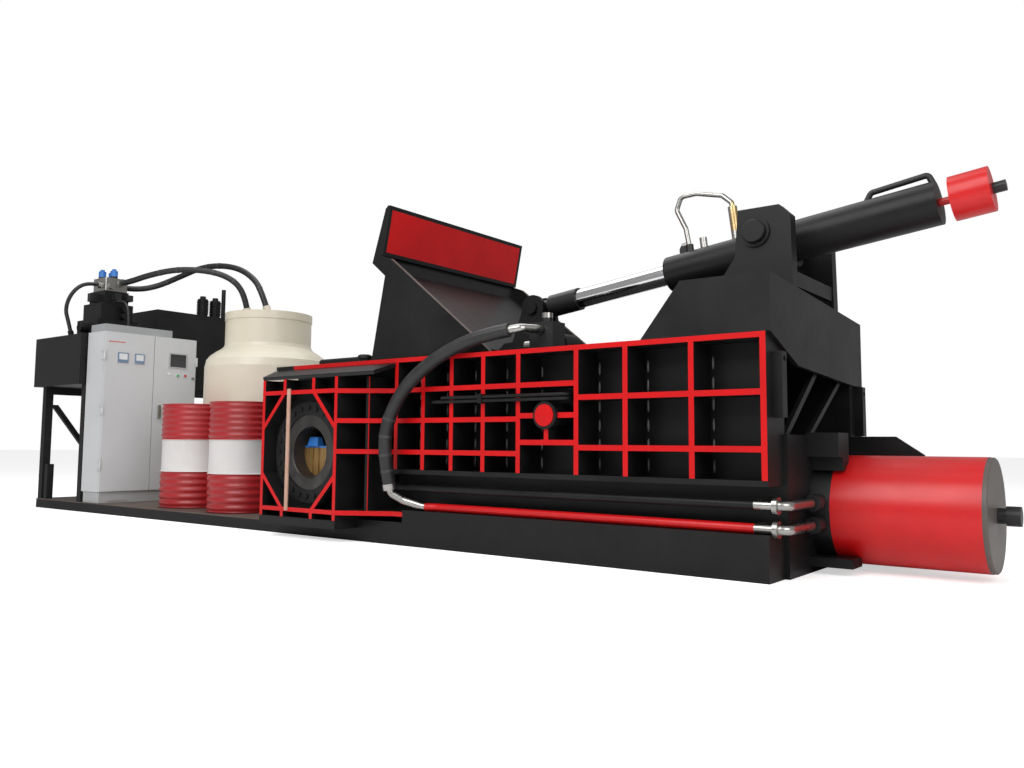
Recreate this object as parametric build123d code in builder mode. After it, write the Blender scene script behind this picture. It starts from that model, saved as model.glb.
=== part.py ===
from build123d import *
import os
from math import atan2, cos, degrees, hypot, pi, radians, sin, sqrt, tan

# Recycling baler: a horizontal press with a hinged lid, a side ram and its power unit on one base.
# X runs along the machine to the main cylinder, Y away from the front face, Z up.
# The origin is at the middle of the base's underside. All lengths are in millimetres.

os.makedirs("parts", exist_ok=True)

# Clearances
fit_gap = 0.3
bore_gap = 0.1
slide_gap = 5.0

# Base
half_length = 3675.0
half_width = 780.0
press_left = -12.0
deck_top = 87.0
deck_plate_thick = 8.0
skid_beam = 60.0
skid_bay = 560.0
base_plate = 30.0
sill_height = 143.0
beam_height = 223.0
beam_step_x = 1290.0

# Press box
wall_top = 1192.0
wall_outer = 580.0
wall_thick = 30.0
liner_thick = 15.0
rib_thick = 30.0
top_bar_thick = 28.0
ledge_z = 478.0
ledge_thick = 28.0
port_left = 85.0
port_right = 870.0
port_top = 1058.0
end_wall_thick = 62.0
ram_front_x = 2000.0
chamber_right = 2060.0
housing_plate = 30.0

# Ribs of the long walls, by their middle planes
low_ribs = [1221.0, 1456.0, 1692.0, 1941.0, 2202.0]
high_ribs = [2600.0, 2908.0, 3287.0, 3660.0]
low_rows = [982.0, 788.0, 589.0]
high_rows = [902.0, 627.0]
window_rows = [982.0, 806.0, 654.0]

# Rams
ram_length = 400.0
ram_top = 525.0
ram_rod_radius = 150.0
ram_rod_end = 4330.0
cylinder_z = 316.0
cylinder_radius = 281.0
cylinder_bore = 225.0
cylinder_start = 3150.0
cylinder_end = 4488.0
flange_depth = 25.0
saddle_right = 3859.0
saddle_bar_right = 3914.0
flange_top = 700.0
side_ram_thick = 55.0
side_ram_top = 1050.0

# Side port on the front
port_face = 980.0
frame_depth = 110.0
frame_bar = 28.0
frame_verticals = [120.0, 345.0, 645.0, 870.0]
frame_bottom = 195.0
frame_top = 985.0
octagon_low = 430.0
octagon_high = 740.0
port_plate_thick = 20.0
ring_x = 497.0
ring_z = 580.0
ring_bore = 172.0
ring_outer = 256.0
bolt_ring_outer = 345.0
bolt_circle = 300.0
port_bolt_count = 24
roof_front_z = 1100.0
roof_back_z = 1163.0
roof_thick = 25.0
roof_right = 1216.0
wing_right = 1206.0

# Lid
hinge_x = 2250.0
hinge_z = 1258.0
hinge_radius = 35.0
knuckle_radius = 62.0
lid_half_width = 740.0
lid_plate = 25.0
lid_skin = 20.0
lid_foot = (940.0, 1197.0)
lid_notch = (1053.0, 1759.0)
lid_jaw = (930.0, 1859.0)
lid_crown = (1048.0, 2217.0)
sign_top = (1094.0, 2233.0)
sign_foot = (1030.0, 1900.0)
lid_brow = (1110.0, 1868.0)
lid_toe = (1962.0, 1197.0)
web_depth = 90.0
sign_thick = 20.0
sign_border = 26.0
press_box_z = 535.0
press_box_arc = 1300.0
press_box_right = 2050.0
cheek_outer = 530.0
cheek_inner = 500.0

# Lid cylinder
trunnion = (3475.0, 0.0, 1780.0)
cylinder_tilt = 7.5
rod_reach = 1691.4
rod_radius = 62.0
socket_radius = 74.0
barrel_front_radius = 108.0
barrel_radius = 115.0
cap_gap = 60.0
piston_radius = 79.0
lid_bore = 80.0
lug_radius = 88.0
lug_inner = 56.0
lug_thick = 34.0
eye_radius = 70.0
pin_radius = 55.0
bracket_inner = 300.0
bracket_thick = 76.0

# Top stand
stand_left = 3225.0
stand_gusset_x = 3000.0
stand_front_z = 1481.0
stand_back_z = 1388.0
stand_back_y = 721.0
stand_plate = 25.0

# Power unit
tank_left = -3740.0
tank_right = -2840.0
tank_front = -830.0
tank_back = 760.0
tank_bottom = 1171.0
tank_top = 1645.0
riser_front = -81.0
riser_top = 1965.0
post_size = 70.0

# Control cabinet
cabinet_face = -2500.0
cabinet_depth = 320.0
cabinet_y0 = -772.0
cabinet_y1 = 150.0
cabinet_top = 1650.0
plinth_top = 187.0
door_thick = 22.0
sheet = 12.0
door_split = -294.0
door_gap = 3.0

# Cooling tower
tower_x = -1555.0
tower_y = 300.0
tower_low_radius = 380.0
tower_radius = 562.0
tower_neck_radius = 391.0
tower_rim = 6.0
tower_rim_height = 70.0
tower_basin_top = 972.0
tower_casing_z = 982.0
tower_shoulder_z = 1325.0
tower_neck_z = 1545.0
tower_top = 1836.0
tower_wall = 12.0

# Oil drums
drum_radius = 290.0
drum_height = 880.0
drum_spots = [(-1608.0, -384.0), (-839.0, -433.0)]

# Derived places
floor_top = sill_height
wall_inner = wall_outer - wall_thick
liner_inner = wall_inner - liner_thick
cylinder_dir = (cos(radians(cylinder_tilt)), 0, sin(radians(cylinder_tilt)))


def slab(x, y, z, mode=Mode.ADD):
    """Add or cut a box given by its ranges along X, Y and Z."""
    centre = ((x[0] + x[1]) / 2, (y[0] + y[1]) / 2, (z[0] + z[1]) / 2)
    with Locations(centre):
        Box(x[1] - x[0], y[1] - y[0], z[1] - z[0], mode=mode)


def bar(start, direction, radius, length, mode=Mode.ADD):
    """Add or cut a round bar from its start point along a direction."""
    with BuildSketch(Plane(origin=start, z_dir=direction)) as section:
        Circle(radius)
    extrude(section.sketch, amount=length, mode=mode)


def side_plate(points, y, mode=Mode.ADD):
    """Add or cut a plate whose outline lies in X and Z, between two values of Y."""
    with BuildSketch(Plane.XZ.offset(-y[1])) as outline:
        Polygon(*points, align=None)
    extrude(outline.sketch, amount=y[1] - y[0], mode=mode)


def cross_plate(points, x, mode=Mode.ADD):
    """Add or cut a plate whose outline lies in Y and Z, between two values of X."""
    with BuildSketch(Plane.YZ.offset(x[0])) as outline:
        Polygon(*points, align=None)
    extrude(outline.sketch, amount=x[1] - x[0], mode=mode)


def flat_plate(points, z, mode=Mode.ADD):
    """Add or cut a plate whose outline lies in X and Y, between two values of Z."""
    with BuildSketch(Plane.XY.offset(z[0])) as outline:
        Polygon(*points, align=None)
    extrude(outline.sketch, amount=z[1] - z[0], mode=mode)


def along(distance, across=0.0, lift=0.0):
    """Point on the lid cylinder: distance from the trunnion, across in Y, lift square to the axis."""
    tilt = radians(cylinder_tilt)
    return (
        trunnion[0] + distance * cos(tilt) - lift * sin(tilt),
        across,
        trunnion[2] + distance * sin(tilt) + lift * cos(tilt),
    )


def cord(name, points, radius):
    """Sweep a round cord along straight runs joined by tangent arcs, and print its radii."""
    corners = [Vector(*point) for point in points]
    runs = [after - before for before, after in zip(corners, corners[1:])]
    radii = []
    for before, after in zip(runs, runs[1:]):
        turn = radians(before.get_angle(after))
        radii.append(0.45 * min(before.length, after.length) / tan(turn / 2))
    with BuildLine() as route:
        FilletPolyline(*points, radius=radii)
    with BuildSketch(Plane(origin=corners[0], z_dir=runs[0])) as section:
        Circle(radius)
    sweep(section.sketch, path=route.line)
    length = sum(edge.length for edge in route.edges())
    share = BuildPart._get_context().part.volume / (pi * radius**2 * length)
    lowest = min(radii) / (2 * radius)
    print(f"{name}: length {length:.0f}, least radius {lowest:.1f} diameters, volume {share:.4f}")


# Base: the deck frame of the power unit, its plate, and the bed under the press
deck_back = half_width
beam_z = deck_top - deck_plate_thick
with BuildPart() as skid_frame:
    for sign in (-1, 1):
        inner = sign * (half_width - skid_beam)
        slab((-half_length, press_left), sorted((inner, sign * half_width)), (0, beam_z))
    slab((-half_length, -half_length + skid_beam), (-half_width, half_width), (0, beam_z))
    bays = int((half_length + press_left) // skid_bay)
    pitch = (half_length + press_left - skid_beam) / bays
    for index in range(1, bays + 1):
        x0 = -half_length + index * pitch
        slab((x0, x0 + skid_beam), (-half_width, half_width), (0, beam_z))
skid_frame.part.label = "skid_frame"
export_step(skid_frame.part, "parts/skid_frame.step")

with BuildPart() as deck_plate:
    slab((-half_length, press_left), (-half_width, half_width), (beam_z, deck_top))
deck_plate.part.label = "deck_plate"
export_step(deck_plate.part, "parts/deck_plate.step")

beam_outline = [
    (press_left, 0),
    (half_length, 0),
    (half_length, beam_height),
    (beam_step_x, beam_height),
    (beam_step_x, sill_height),
    (press_left, sill_height),
]
with BuildPart() as press_base:
    slab((press_left, half_length), (-half_width, half_width), (0, base_plate))
    side_plate(beam_outline, (-half_width, -wall_outer))
    side_plate(beam_outline, (wall_outer, half_width))
press_base.part.label = "press_base"
export_step(press_base.part, "parts/press_base.step")

floor_left = press_left + end_wall_thick
with BuildPart() as chamber_liners:
    slab((floor_left, cylinder_start - 50), (-wall_inner, wall_inner), (base_plate, floor_top))
    for sign in (-1, 1):
        liner_y = sorted((sign * liner_inner, sign * wall_inner))
        slab((port_right + 5, chamber_right), liner_y, (floor_top, wall_top - 40))
chamber_liners.part.label = "chamber_liners"
export_step(chamber_liners.part, "parts/chamber_liners.step")


# Long walls: a plate with an egg crate of ribs on its outer face
def long_wall(side):
    """Build one long wall. Side is -1 at the front and 1 at the back."""
    plate_y = sorted((side * wall_inner, side * wall_outer))
    rib_y = sorted((side * wall_outer, side * half_width))
    half_rib = rib_thick / 2
    bar_z = (wall_top - top_bar_thick, wall_top)
    slab((press_left, half_length), plate_y, (base_plate, wall_top))
    slab((port_left, port_right), plate_y, (sill_height, port_top), mode=Mode.SUBTRACT)
    slab((press_left, half_length), rib_y, bar_z)
    slab((low_ribs[0] - half_rib, half_length), rib_y, (ledge_z - ledge_thick, ledge_z))
    for x in low_ribs + high_ribs:
        slab((x - half_rib, x + half_rib), rib_y, (ledge_z, bar_z[0]))
    spans = [
        (low_ribs[0], low_ribs[-1], low_rows),
        (low_ribs[-1], high_ribs[0], window_rows),
        (high_ribs[0], high_ribs[-1], high_rows),
    ]
    for x0, x1, rows in spans:
        for z in rows:
            slab((x0, x1), rib_y, (z - half_rib, z + half_rib))


plunger_at = (833.0, -700.0)
window_x = 2400.0
window_radius = 74.0
with BuildPart() as front_wall:
    long_wall(-1)
    slab(
        (window_x - rib_thick / 2, window_x + rib_thick / 2),
        (-half_width, -wall_outer),
        (window_rows[2], window_rows[1]),
    )
    bar(
        (window_x, -half_width, window_rows[1]),
        (0, 1, 0),
        window_radius,
        half_width - wall_outer,
        Mode.SUBTRACT,
    )
    bar((plunger_at[0], plunger_at[1], wall_top), (0, 0, 1), 40, 16)
    bar((plunger_at[0], plunger_at[1], wall_top), (0, 0, 1), 12 + bore_gap, 16, Mode.SUBTRACT)
front_wall.part.label = "front_wall"
export_step(front_wall.part, "parts/front_wall.step")

with BuildPart() as rear_wall:
    long_wall(1)
rear_wall.part.label = "rear_wall"
export_step(rear_wall.part, "parts/rear_wall.step")

with BuildPart() as end_wall:
    slab((press_left, floor_left), (-wall_inner, wall_inner), (base_plate, wall_top))
end_wall.part.label = "end_wall"
export_step(end_wall.part, "parts/end_wall.step")

roof_box_z = 1268.0
with BuildPart() as roof_plates:
    slab((floor_left, lid_foot[0] - 10), (-wall_inner, wall_inner), (wall_top - 30, wall_top))
    slab((104, 880), (-480, 480), (wall_top, roof_box_z))
    chamfer(roof_plates.faces().sort_by(Axis.Z)[-1].edges(), 12)
    slab((chamber_right, stand_left), (-wall_inner, wall_inner), (wall_top - 30, wall_top))
    slab(
        (chamber_right, chamber_right + housing_plate),
        (-wall_inner, wall_inner),
        (ram_top + slide_gap, wall_top - 30),
    )
roof_plates.part.label = "roof_plates"
export_step(roof_plates.part, "parts/roof_plates.step")

# Side port: a square frame of plates, the bolted rings behind it, and its roof
plate_y0 = -(port_face - frame_depth)
wing_x0 = frame_verticals[-1] + frame_bar / 2
wing_slope = (port_face - half_width) / (wing_right - wing_x0)
wing_post_x = 1035.0
wing_post_y = -port_face + (wing_post_x + rib_thick - wing_x0) * wing_slope
roof_rise = roof_back_z - roof_front_z
roof_run = port_face - half_width
roof_angle = atan2(roof_rise, roof_run)
roof_bottom_z = roof_front_z - roof_thick * cos(roof_angle) - 0.1
with BuildPart() as port_frame:
    face = (-port_face, plate_y0)
    half_bar = frame_bar / 2
    left, second, third, right = frame_verticals
    for x in (left, right):
        slab((x - half_bar, x + half_bar), face, (sill_height, roof_bottom_z))
    for x in (second, third):
        slab((x - half_bar, x + half_bar), face, (frame_top, roof_bottom_z))
        slab((x - half_bar, x + half_bar), face, (sill_height, frame_bottom))
    for z in (frame_bottom, frame_top):
        slab((left, right), face, (z - half_bar, z + half_bar))
    corners = [
        ((left, octagon_high), (second, frame_top)),
        ((third, frame_top), (right, octagon_high)),
        ((right, octagon_low), (third, frame_bottom)),
        ((second, frame_bottom), (left, octagon_low)),
    ]
    for first, last in corners:
        run = hypot(last[0] - first[0], last[1] - first[1])
        nx = (last[1] - first[1]) / run * half_bar
        nz = -(last[0] - first[0]) / run * half_bar
        outline = [
            (first[0] - nx, first[1] - nz),
            (last[0] - nx, last[1] - nz),
            (last[0] + nx, last[1] + nz),
            (first[0] + nx, first[1] + nz),
        ]
        side_plate(outline, face)
    slab(
        (frame_verticals[0] - frame_bar / 2, wing_x0),
        (plate_y0, plate_y0 + port_plate_thick),
        (sill_height, roof_bottom_z),
    )
    bar((ring_x, plate_y0, ring_z), (0, 1, 0), ring_outer + 1, port_plate_thick, Mode.SUBTRACT)
    slab(
        (frame_verticals[0] - frame_bar / 2, frame_verticals[0] - frame_bar / 2 + 20),
        (plate_y0 + port_plate_thick, -wall_outer),
        (sill_height, roof_bottom_z),
    )
    slab(
        (wing_x0 - 20, wing_x0),
        (plate_y0 + port_plate_thick, -wall_outer),
        (sill_height, roof_bottom_z),
    )
    slab(
        (frame_verticals[0] - frame_bar / 2, wing_x0),
        (-port_face, -half_width),
        (deck_top, sill_height),
    )
    for z in [frame_bottom] + low_rows:
        outline = [
            (wing_x0, -port_face),
            (wing_right, -half_width),
            (wing_right, -wall_outer),
            (wing_x0, -wall_outer),
        ]
        flat_plate(outline, (z - rib_thick / 2, z + rib_thick / 2))
    slab(
        (wing_right, beam_step_x),
        (-half_width, -wall_outer),
        (frame_bottom - rib_thick / 2, frame_bottom + rib_thick / 2),
    )
    slab(
        (wing_post_x, wing_post_x + rib_thick),
        (wing_post_y, -wall_outer),
        (frame_bottom + rib_thick / 2, roof_bottom_z),
    )
port_frame.part.label = "port_frame"
export_step(port_frame.part, "parts/port_frame.step")

roof_plane = Plane(
    origin=(0, -port_face - 3, roof_front_z),
    x_dir=(1, 0, 0),
    z_dir=(0, -sin(roof_angle), cos(roof_angle)),
)
roof_reach = (roof_run - 8) / cos(roof_angle)
with BuildPart() as port_roof:
    with BuildSketch(roof_plane):
        Polygon(
            (frame_verticals[0] - 18, 0),
            (roof_right, 0),
            (roof_right, roof_reach),
            (press_left, roof_reach),
            align=None,
        )
    extrude(amount=-roof_thick)
port_roof.part.label = "port_roof"
export_step(port_roof.part, "parts/port_roof.step")

ring_front = plate_y0 - 20
with BuildPart() as port_bolt_ring:
    with BuildSketch(Plane(origin=(ring_x, plate_y0, ring_z), z_dir=(0, -1, 0))):
        Circle(bolt_ring_outer)
        Circle(ring_outer + 1, mode=Mode.SUBTRACT)
    extrude(amount=20)
    with BuildSketch(Plane(origin=(ring_x, ring_front, ring_z), z_dir=(0, -1, 0))):
        with PolarLocations(bolt_circle, port_bolt_count):
            RegularPolygon(16, 6)
    extrude(amount=12)
port_bolt_ring.part.label = "port_bolt_ring"
export_step(port_bolt_ring.part, "parts/port_bolt_ring.step")

ring_depth = 45.0
sleeve_front = plate_y0 - 12 + ring_depth
sleeve_back = -wall_outer - slide_gap
with BuildPart() as port_ring:
    with BuildSketch(Plane(origin=(ring_x, plate_y0 - 12, ring_z), z_dir=(0, 1, 0))):
        Circle(ring_outer)
        Circle(ring_bore, mode=Mode.SUBTRACT)
    extrude(amount=ring_depth)
    inner_edges = port_ring.edges().filter_by(GeomType.CIRCLE).group_by(Axis.Y)[0]
    chamfer(inner_edges.sort_by(SortBy.RADIUS)[0], 8)
    with BuildSketch(Plane(origin=(ring_x, sleeve_front, ring_z), z_dir=(0, 1, 0))):
        Circle(ring_bore + 22)
        Circle(ring_bore, mode=Mode.SUBTRACT)
    extrude(amount=sleeve_back - sleeve_front)
port_ring.part.label = "port_ring"
export_step(port_ring.part, "parts/port_ring.step")

# Corrugated guide sheet in the lower half of the port, and the blue cap on it
sheet_y = sleeve_front + 70
sheet_top = 30.0
sheet_radius = ring_bore - fit_gap
with BuildPart() as guide_sheet:
    with BuildSketch(Plane(origin=(ring_x, sheet_y, ring_z), x_dir=(1, 0, 0), z_dir=(0, -1, 0))):
        Circle(sheet_radius)
        with Locations((0, sheet_radius + sheet_top)):
            Rectangle(2 * sheet_radius, 2 * sheet_radius, mode=Mode.SUBTRACT)
    extrude(amount=10)
    for offset_x in (-80, -20, 60, 110):
        rib_drop = sqrt(sheet_radius**2 - (abs(offset_x) + 6) ** 2)
        slab(
            (ring_x + offset_x - 5, ring_x + offset_x + 5),
            (sheet_y - 18, sheet_y - 10),
            (ring_z - rib_drop + 4, ring_z + sheet_top),
        )
guide_sheet.part.label = "guide_sheet"
export_step(guide_sheet.part, "parts/guide_sheet.step")

cap_z = ring_z + sheet_top + fit_gap
with BuildPart() as blue_cap:
    slab((ring_x - 165, ring_x + 160), (sheet_y - 12, sheet_y), (cap_z, cap_z + 12))
    with BuildSketch(Plane.XY.offset(cap_z + 12)):
        with Locations((ring_x - 60, sheet_y - 6)):
            Rectangle(110, 60)
    extrude(amount=62, taper=12)
    fillet(blue_cap.faces().sort_by(Axis.Z)[-1].edges(), 10)
blue_cap.part.label = "blue_cap"
export_step(blue_cap.part, "parts/blue_cap.step")

strip_x = 397.0
with BuildPart() as gauge_strip:
    slab(
        (strip_x - 16, strip_x + 16),
        (-port_face - 8 - fit_gap, -port_face - fit_gap),
        (frame_bottom - 8, frame_top + 25),
    )
gauge_strip.part.label = "gauge_strip"
export_step(gauge_strip.part, "parts/gauge_strip.step")

# Side ram: the pusher behind the port and its tail rod in the sleeve
side_ram_y = -wall_outer
with BuildPart() as side_ram:
    slab(
        (port_left + slide_gap, port_right - slide_gap),
        (side_ram_y, side_ram_y + side_ram_thick),
        (floor_top + fit_gap, side_ram_top),
    )
side_ram.part.label = "side_ram"
export_step(side_ram.part, "parts/side_ram.step")

# Discharge door at the back, on hinge posts, with its lever latch
door_y = wall_outer + fit_gap
door_hinge = (925.0, 655.0)
door_pin = 14.0
door_bottom = sill_height + 6
door_height_top = wall_top - top_bar_thick - 10
knuckle_spans = [(250.0, 350.0), (600.0, 700.0), (950.0, 1050.0)]
latch_x = 110.0
latch_z = 590.0
latch_lever_y = door_y + 95 + 2
with BuildPart() as rear_door:
    slab((50, 880), (door_y, door_y + 25), (door_bottom, door_height_top))
    for z in (260, 480, 700, 920):
        slab((70, 860), (door_y + 25, door_y + 95), (z, z + 20))
    for x in (60, 340, 620, 850):
        slab((x, x + 20), (door_y + 25, door_y + 95), (door_bottom + 20, door_height_top - 20))
    for z0, z1 in knuckle_spans:
        bar((door_hinge[0], door_hinge[1], z0), (0, 0, 1), door_pin + 18, z1 - z0)
        slab((860, door_hinge[0]), (door_hinge[1] - 15, door_hinge[1] + 15), (z0, z1))
        bar((door_hinge[0], door_hinge[1], z0), (0, 0, 1), door_pin + bore_gap, z1 - z0, Mode.SUBTRACT)
    bar((latch_x, door_y + 20, latch_z), (0, 1, 0), 12, latch_lever_y + 24 + 6 - door_y - 20)
rear_door.part.label = "rear_door"
export_step(rear_door.part, "parts/rear_door.step")

with BuildPart() as door_posts:
    for z0, z1 in knuckle_spans:
        for base_z in (z0 - 30 - fit_gap, z1 + fit_gap):
            slab(
                (door_hinge[0] - 20, door_hinge[0] + 40),
                (wall_outer, door_hinge[1] + 20),
                (base_z, base_z + 30),
            )
        bar(
            (door_hinge[0], door_hinge[1], z0 - 30 - fit_gap),
            (0, 0, 1),
            door_pin,
            z1 - z0 + 60 + 2 * fit_gap,
        )
    slab((-4, 32), (wall_outer, latch_lever_y + 20), (latch_z - 42, latch_z - 22 - fit_gap))
door_posts.part.label = "door_posts"
export_step(door_posts.part, "parts/door_posts.step")

with BuildPart() as door_latch:
    slab((-2, latch_x), (latch_lever_y, latch_lever_y + 24), (latch_z - 22, latch_z + 22))
    bar((latch_x, latch_lever_y, latch_z), (0, 1, 0), 34, 24)
    slab((latch_x, 330), (latch_lever_y, latch_lever_y + 24), (latch_z - 14, latch_z + 14))
    bar((latch_x, latch_lever_y, latch_z), (0, 1, 0), 12 + 0.08, 24, Mode.SUBTRACT)
door_latch.part.label = "door_latch"
export_step(door_latch.part, "parts/door_latch.step")

# Main ram and its cylinder
ram_y = liner_inner - slide_gap
piston_length = 90.0
with BuildPart() as main_ram:
    slab((ram_front_x, ram_front_x + ram_length), (-ram_y, ram_y), (floor_top + fit_gap, ram_top))
    slab(
        (ram_front_x + 90, ram_front_x + ram_length),
        (-ram_y + 60, ram_y - 60),
        (floor_top + 50, ram_top - 50),
        mode=Mode.SUBTRACT,
    )
    slab(
        (ram_front_x + 90, ram_front_x + ram_length),
        (-ram_rod_radius - 60, -ram_rod_radius - 20),
        (floor_top + 50, ram_top - 50),
    )
    slab(
        (ram_front_x + 90, ram_front_x + ram_length),
        (ram_rod_radius + 20, ram_rod_radius + 60),
        (floor_top + 50, ram_top - 50),
    )
    bar((ram_front_x + 90, 0, cylinder_z), (1, 0, 0), ram_rod_radius, ram_rod_end - ram_front_x - 90)
    bar((ram_rod_end, 0, cylinder_z), (1, 0, 0), cylinder_bore - bore_gap, piston_length)
main_ram.part.label = "main_ram"
export_step(main_ram.part, "parts/main_ram.step")

flange_x1 = half_length + flange_depth
gland_length = 80.0
with BuildPart() as main_cylinder:
    bar((cylinder_start, 0, cylinder_z), (1, 0, 0), cylinder_radius, cylinder_end - cylinder_start)
    bar(
        (cylinder_start + gland_length, 0, cylinder_z),
        (1, 0, 0),
        cylinder_bore,
        cylinder_end - cylinder_start - gland_length,
        Mode.SUBTRACT,
    )
    bar(
        (cylinder_start, 0, cylinder_z),
        (1, 0, 0),
        ram_rod_radius + bore_gap,
        gland_length,
        Mode.SUBTRACT,
    )
    bar((cylinder_end, 0, cylinder_z), (1, 0, 0), cylinder_radius - 2, 22)
    chamfer(main_cylinder.edges().sort_by(Axis.X)[-1], 5)
    bar((cylinder_end + 22, 0, cylinder_z), (1, 0, 0), 38, 40)
    bar((cylinder_end + 62, 0, cylinder_z), (1, 0, 0), 48, 62)
main_cylinder.part.label = "main_cylinder"
export_step(main_cylinder.part, "parts/main_cylinder.step")

with BuildPart() as cylinder_mount:
    slab((half_length, flange_x1), (-wall_outer, wall_outer), (0, flange_top))
    slab((flange_x1, saddle_right), (-300, -130), (590, flange_top + 13))
    slab((flange_x1, saddle_right), (-230, -130), (520, 590))
    slab((flange_x1, saddle_bar_right), (-300, -140), (38, 85))
    bar((half_length, 0, cylinder_z), (1, 0, 0), cylinder_radius, 260, Mode.SUBTRACT)
    side_plate(
        [(flange_x1, 0), (4123, 0), (4123, 600), (3978, flange_top), (flange_x1, flange_top)],
        (320, 350),
    )
    slab((half_length - 40, half_length), (-wall_inner, wall_inner), (base_plate, flange_top))
    bar((half_length - 40, 0, cylinder_z), (1, 0, 0), cylinder_radius, 40, Mode.SUBTRACT)
    for y0, z0, y1, z1 in ((-500, flange_top, 100, 1140), (-150, flange_top, 420, 1040)):
        cross_plate(
            [(y0, z0), (y0 + 60, z0), (y1 + 60, z1), (y1, z1)],
            (half_length - 40, half_length - 15),
        )
cylinder_mount.part.label = "cylinder_mount"
export_step(cylinder_mount.part, "parts/cylinder_mount.step")


# Top stand that carries the lid cylinder
def stand_top(y):
    """Height of the stand's sloping top plate at a place across the machine."""
    share = (y + half_width) / (stand_back_y + half_width)
    return stand_front_z + share * (stand_back_z - stand_front_z)


post_x = (half_length, half_length + 50)
with BuildPart() as top_stand:
    side_plate(
        [
            (stand_gusset_x, wall_top),
            (half_length, wall_top),
            (half_length, stand_front_z - 4),
            (stand_left, stand_front_z - 4),
        ],
        (-half_width, -half_width + stand_plate),
    )
    cross_plate(
        [
            (-half_width, stand_front_z - stand_plate),
            (stand_back_y, stand_back_z - stand_plate),
            (stand_back_y, stand_back_z),
            (-half_width, stand_front_z),
        ],
        (stand_left, half_length),
    )
    cross_plate(
        [
            (-half_width, wall_top),
            (stand_back_y, wall_top),
            (stand_back_y, stand_back_z - 5),
            (-half_width, stand_front_z - 5),
        ],
        (stand_left, stand_left + stand_plate),
    )
    slab(
        (stand_left, half_length),
        (stand_back_y - stand_plate, stand_back_y),
        (wall_top, stand_back_z - 5),
    )
    cross_plate(
        [
            (-half_width, wall_top),
            (-400, 1051),
            (541, 1003),
            (stand_back_y, 1003),
            (stand_back_y, stand_back_z),
            (-half_width, stand_front_z),
        ],
        (half_length, half_length + stand_plate),
    )
    for y, z0, z1, hole_z in ((-700, 780, 1100, 1065), (640, 705, 1000, 960)):
        slab(post_x, (y, y + 60), (z0, z1))
        bar((half_length, y + 30, hole_z), (1, 0, 0), 14, 50, Mode.SUBTRACT)
top_stand.part.label = "top_stand"
export_step(top_stand.part, "parts/top_stand.step")

bracket_outline = [
    (3230, stand_top(-bracket_inner) + 2),
    (3296, 1570),
    (3358, 1656),
    (3379, 1912),
    (3605, 1912),
    (3665, 1852),
    (3672, stand_top(-bracket_inner) + 2),
]


def trunnion_bracket(side):
    """Build one upright that holds a trunnion pin, seated on the sloping top plate."""
    y = sorted((side * bracket_inner, side * (bracket_inner + bracket_thick)))
    foot = [(3230, 1380), (3672, 1380)] + bracket_outline[::-1]
    side_plate(foot[:2] + bracket_outline[:0:-1] + [bracket_outline[0]], y)
    bar((trunnion[0], y[0], trunnion[2]), (0, 1, 0), pin_radius + bore_gap, bracket_thick, Mode.SUBTRACT)
    cross_plate(
        [
            (-half_width, 1300),
            (stand_back_y, 1300),
            (stand_back_y, stand_back_z),
            (-half_width, stand_front_z),
        ],
        (3200, 3700),
        mode=Mode.SUBTRACT,
    )


with BuildPart() as trunnion_brackets:
    trunnion_bracket(-1)
    trunnion_bracket(1)
    slab((3640, 3664), (-bracket_inner, bracket_inner), (1480, 1560))
trunnion_brackets.part.label = "trunnion_brackets"
export_step(trunnion_brackets.part, "parts/trunnion_brackets.step")

arm_spans = [(-380.0, -340.0), (340.0, 380.0)]
eye_x, eye_y, eye_z = along(-rod_reach)

box_top = lid_foot[1]

# Lid: side plates, skins and web, the press box below, arms and hinge
lid_outline = [lid_foot, lid_notch, lid_jaw, lid_crown, sign_top, sign_foot, lid_brow, lid_toe]
sign_dir = (sign_top[0] - sign_foot[0], sign_top[1] - sign_foot[1])
sign_run = hypot(*sign_dir)
sign_normal = (sign_dir[1] / sign_run, -sign_dir[0] / sign_run)
recess_depth = sign_thick + 2
recess_x = sign_normal[0] * recess_depth
recess_z = sign_normal[1] * recess_depth
recess_top = (sign_top[0] - recess_x, sign_top[1] - recess_z)
recess_foot = (sign_foot[0] - recess_x, sign_foot[1] - recess_z)
plate_outline = [lid_foot, lid_notch, lid_jaw, lid_crown, recess_top, recess_foot, lid_brow, lid_toe]
inner_y = (-lid_half_width + lid_plate, lid_half_width - lid_plate)
brow_run = hypot(lid_toe[0] - lid_brow[0], lid_toe[1] - lid_brow[1])
web_normal = ((lid_toe[1] - lid_brow[1]) / brow_run, -(lid_toe[0] - lid_brow[0]) / brow_run)
web_first = (lid_brow[0] + web_normal[0] * web_depth, lid_brow[1] + web_normal[1] * web_depth)
web_slope = (lid_brow[1] - lid_toe[1]) / (lid_toe[0] - lid_brow[0])
web_end = 1775.0
web_last = (web_end, web_first[1] - web_slope * (web_end - web_first[0]))
jaw_slope = (lid_notch[0] - lid_foot[0]) / (lid_notch[1] - lid_foot[1])
jaw_inset = lid_skin * hypot(1, jaw_slope)
web_inset = lid_skin * hypot(1, web_slope)
cavity_z = lid_foot[1] + lid_skin
cavity_left = (lid_foot[0] + jaw_inset + jaw_slope * lid_skin, cavity_z)
peak_reach = web_first[1] - web_inset + web_slope * web_first[0] - lid_foot[1]
peak_x = (lid_foot[0] + jaw_inset + jaw_slope * peak_reach) / (1 + jaw_slope * web_slope)
cavity_peak = (peak_x, web_first[1] - web_inset - web_slope * (peak_x - web_first[0]))
cavity_right = (web_first[0] + (web_first[1] - web_inset - cavity_z) / web_slope, cavity_z)
shell_outline = [
    lid_foot,
    lid_notch,
    lid_jaw,
    lid_crown,
    recess_top,
    recess_foot,
    web_first,
    web_last,
    (web_end + 45, lid_foot[1]),
]
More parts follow.
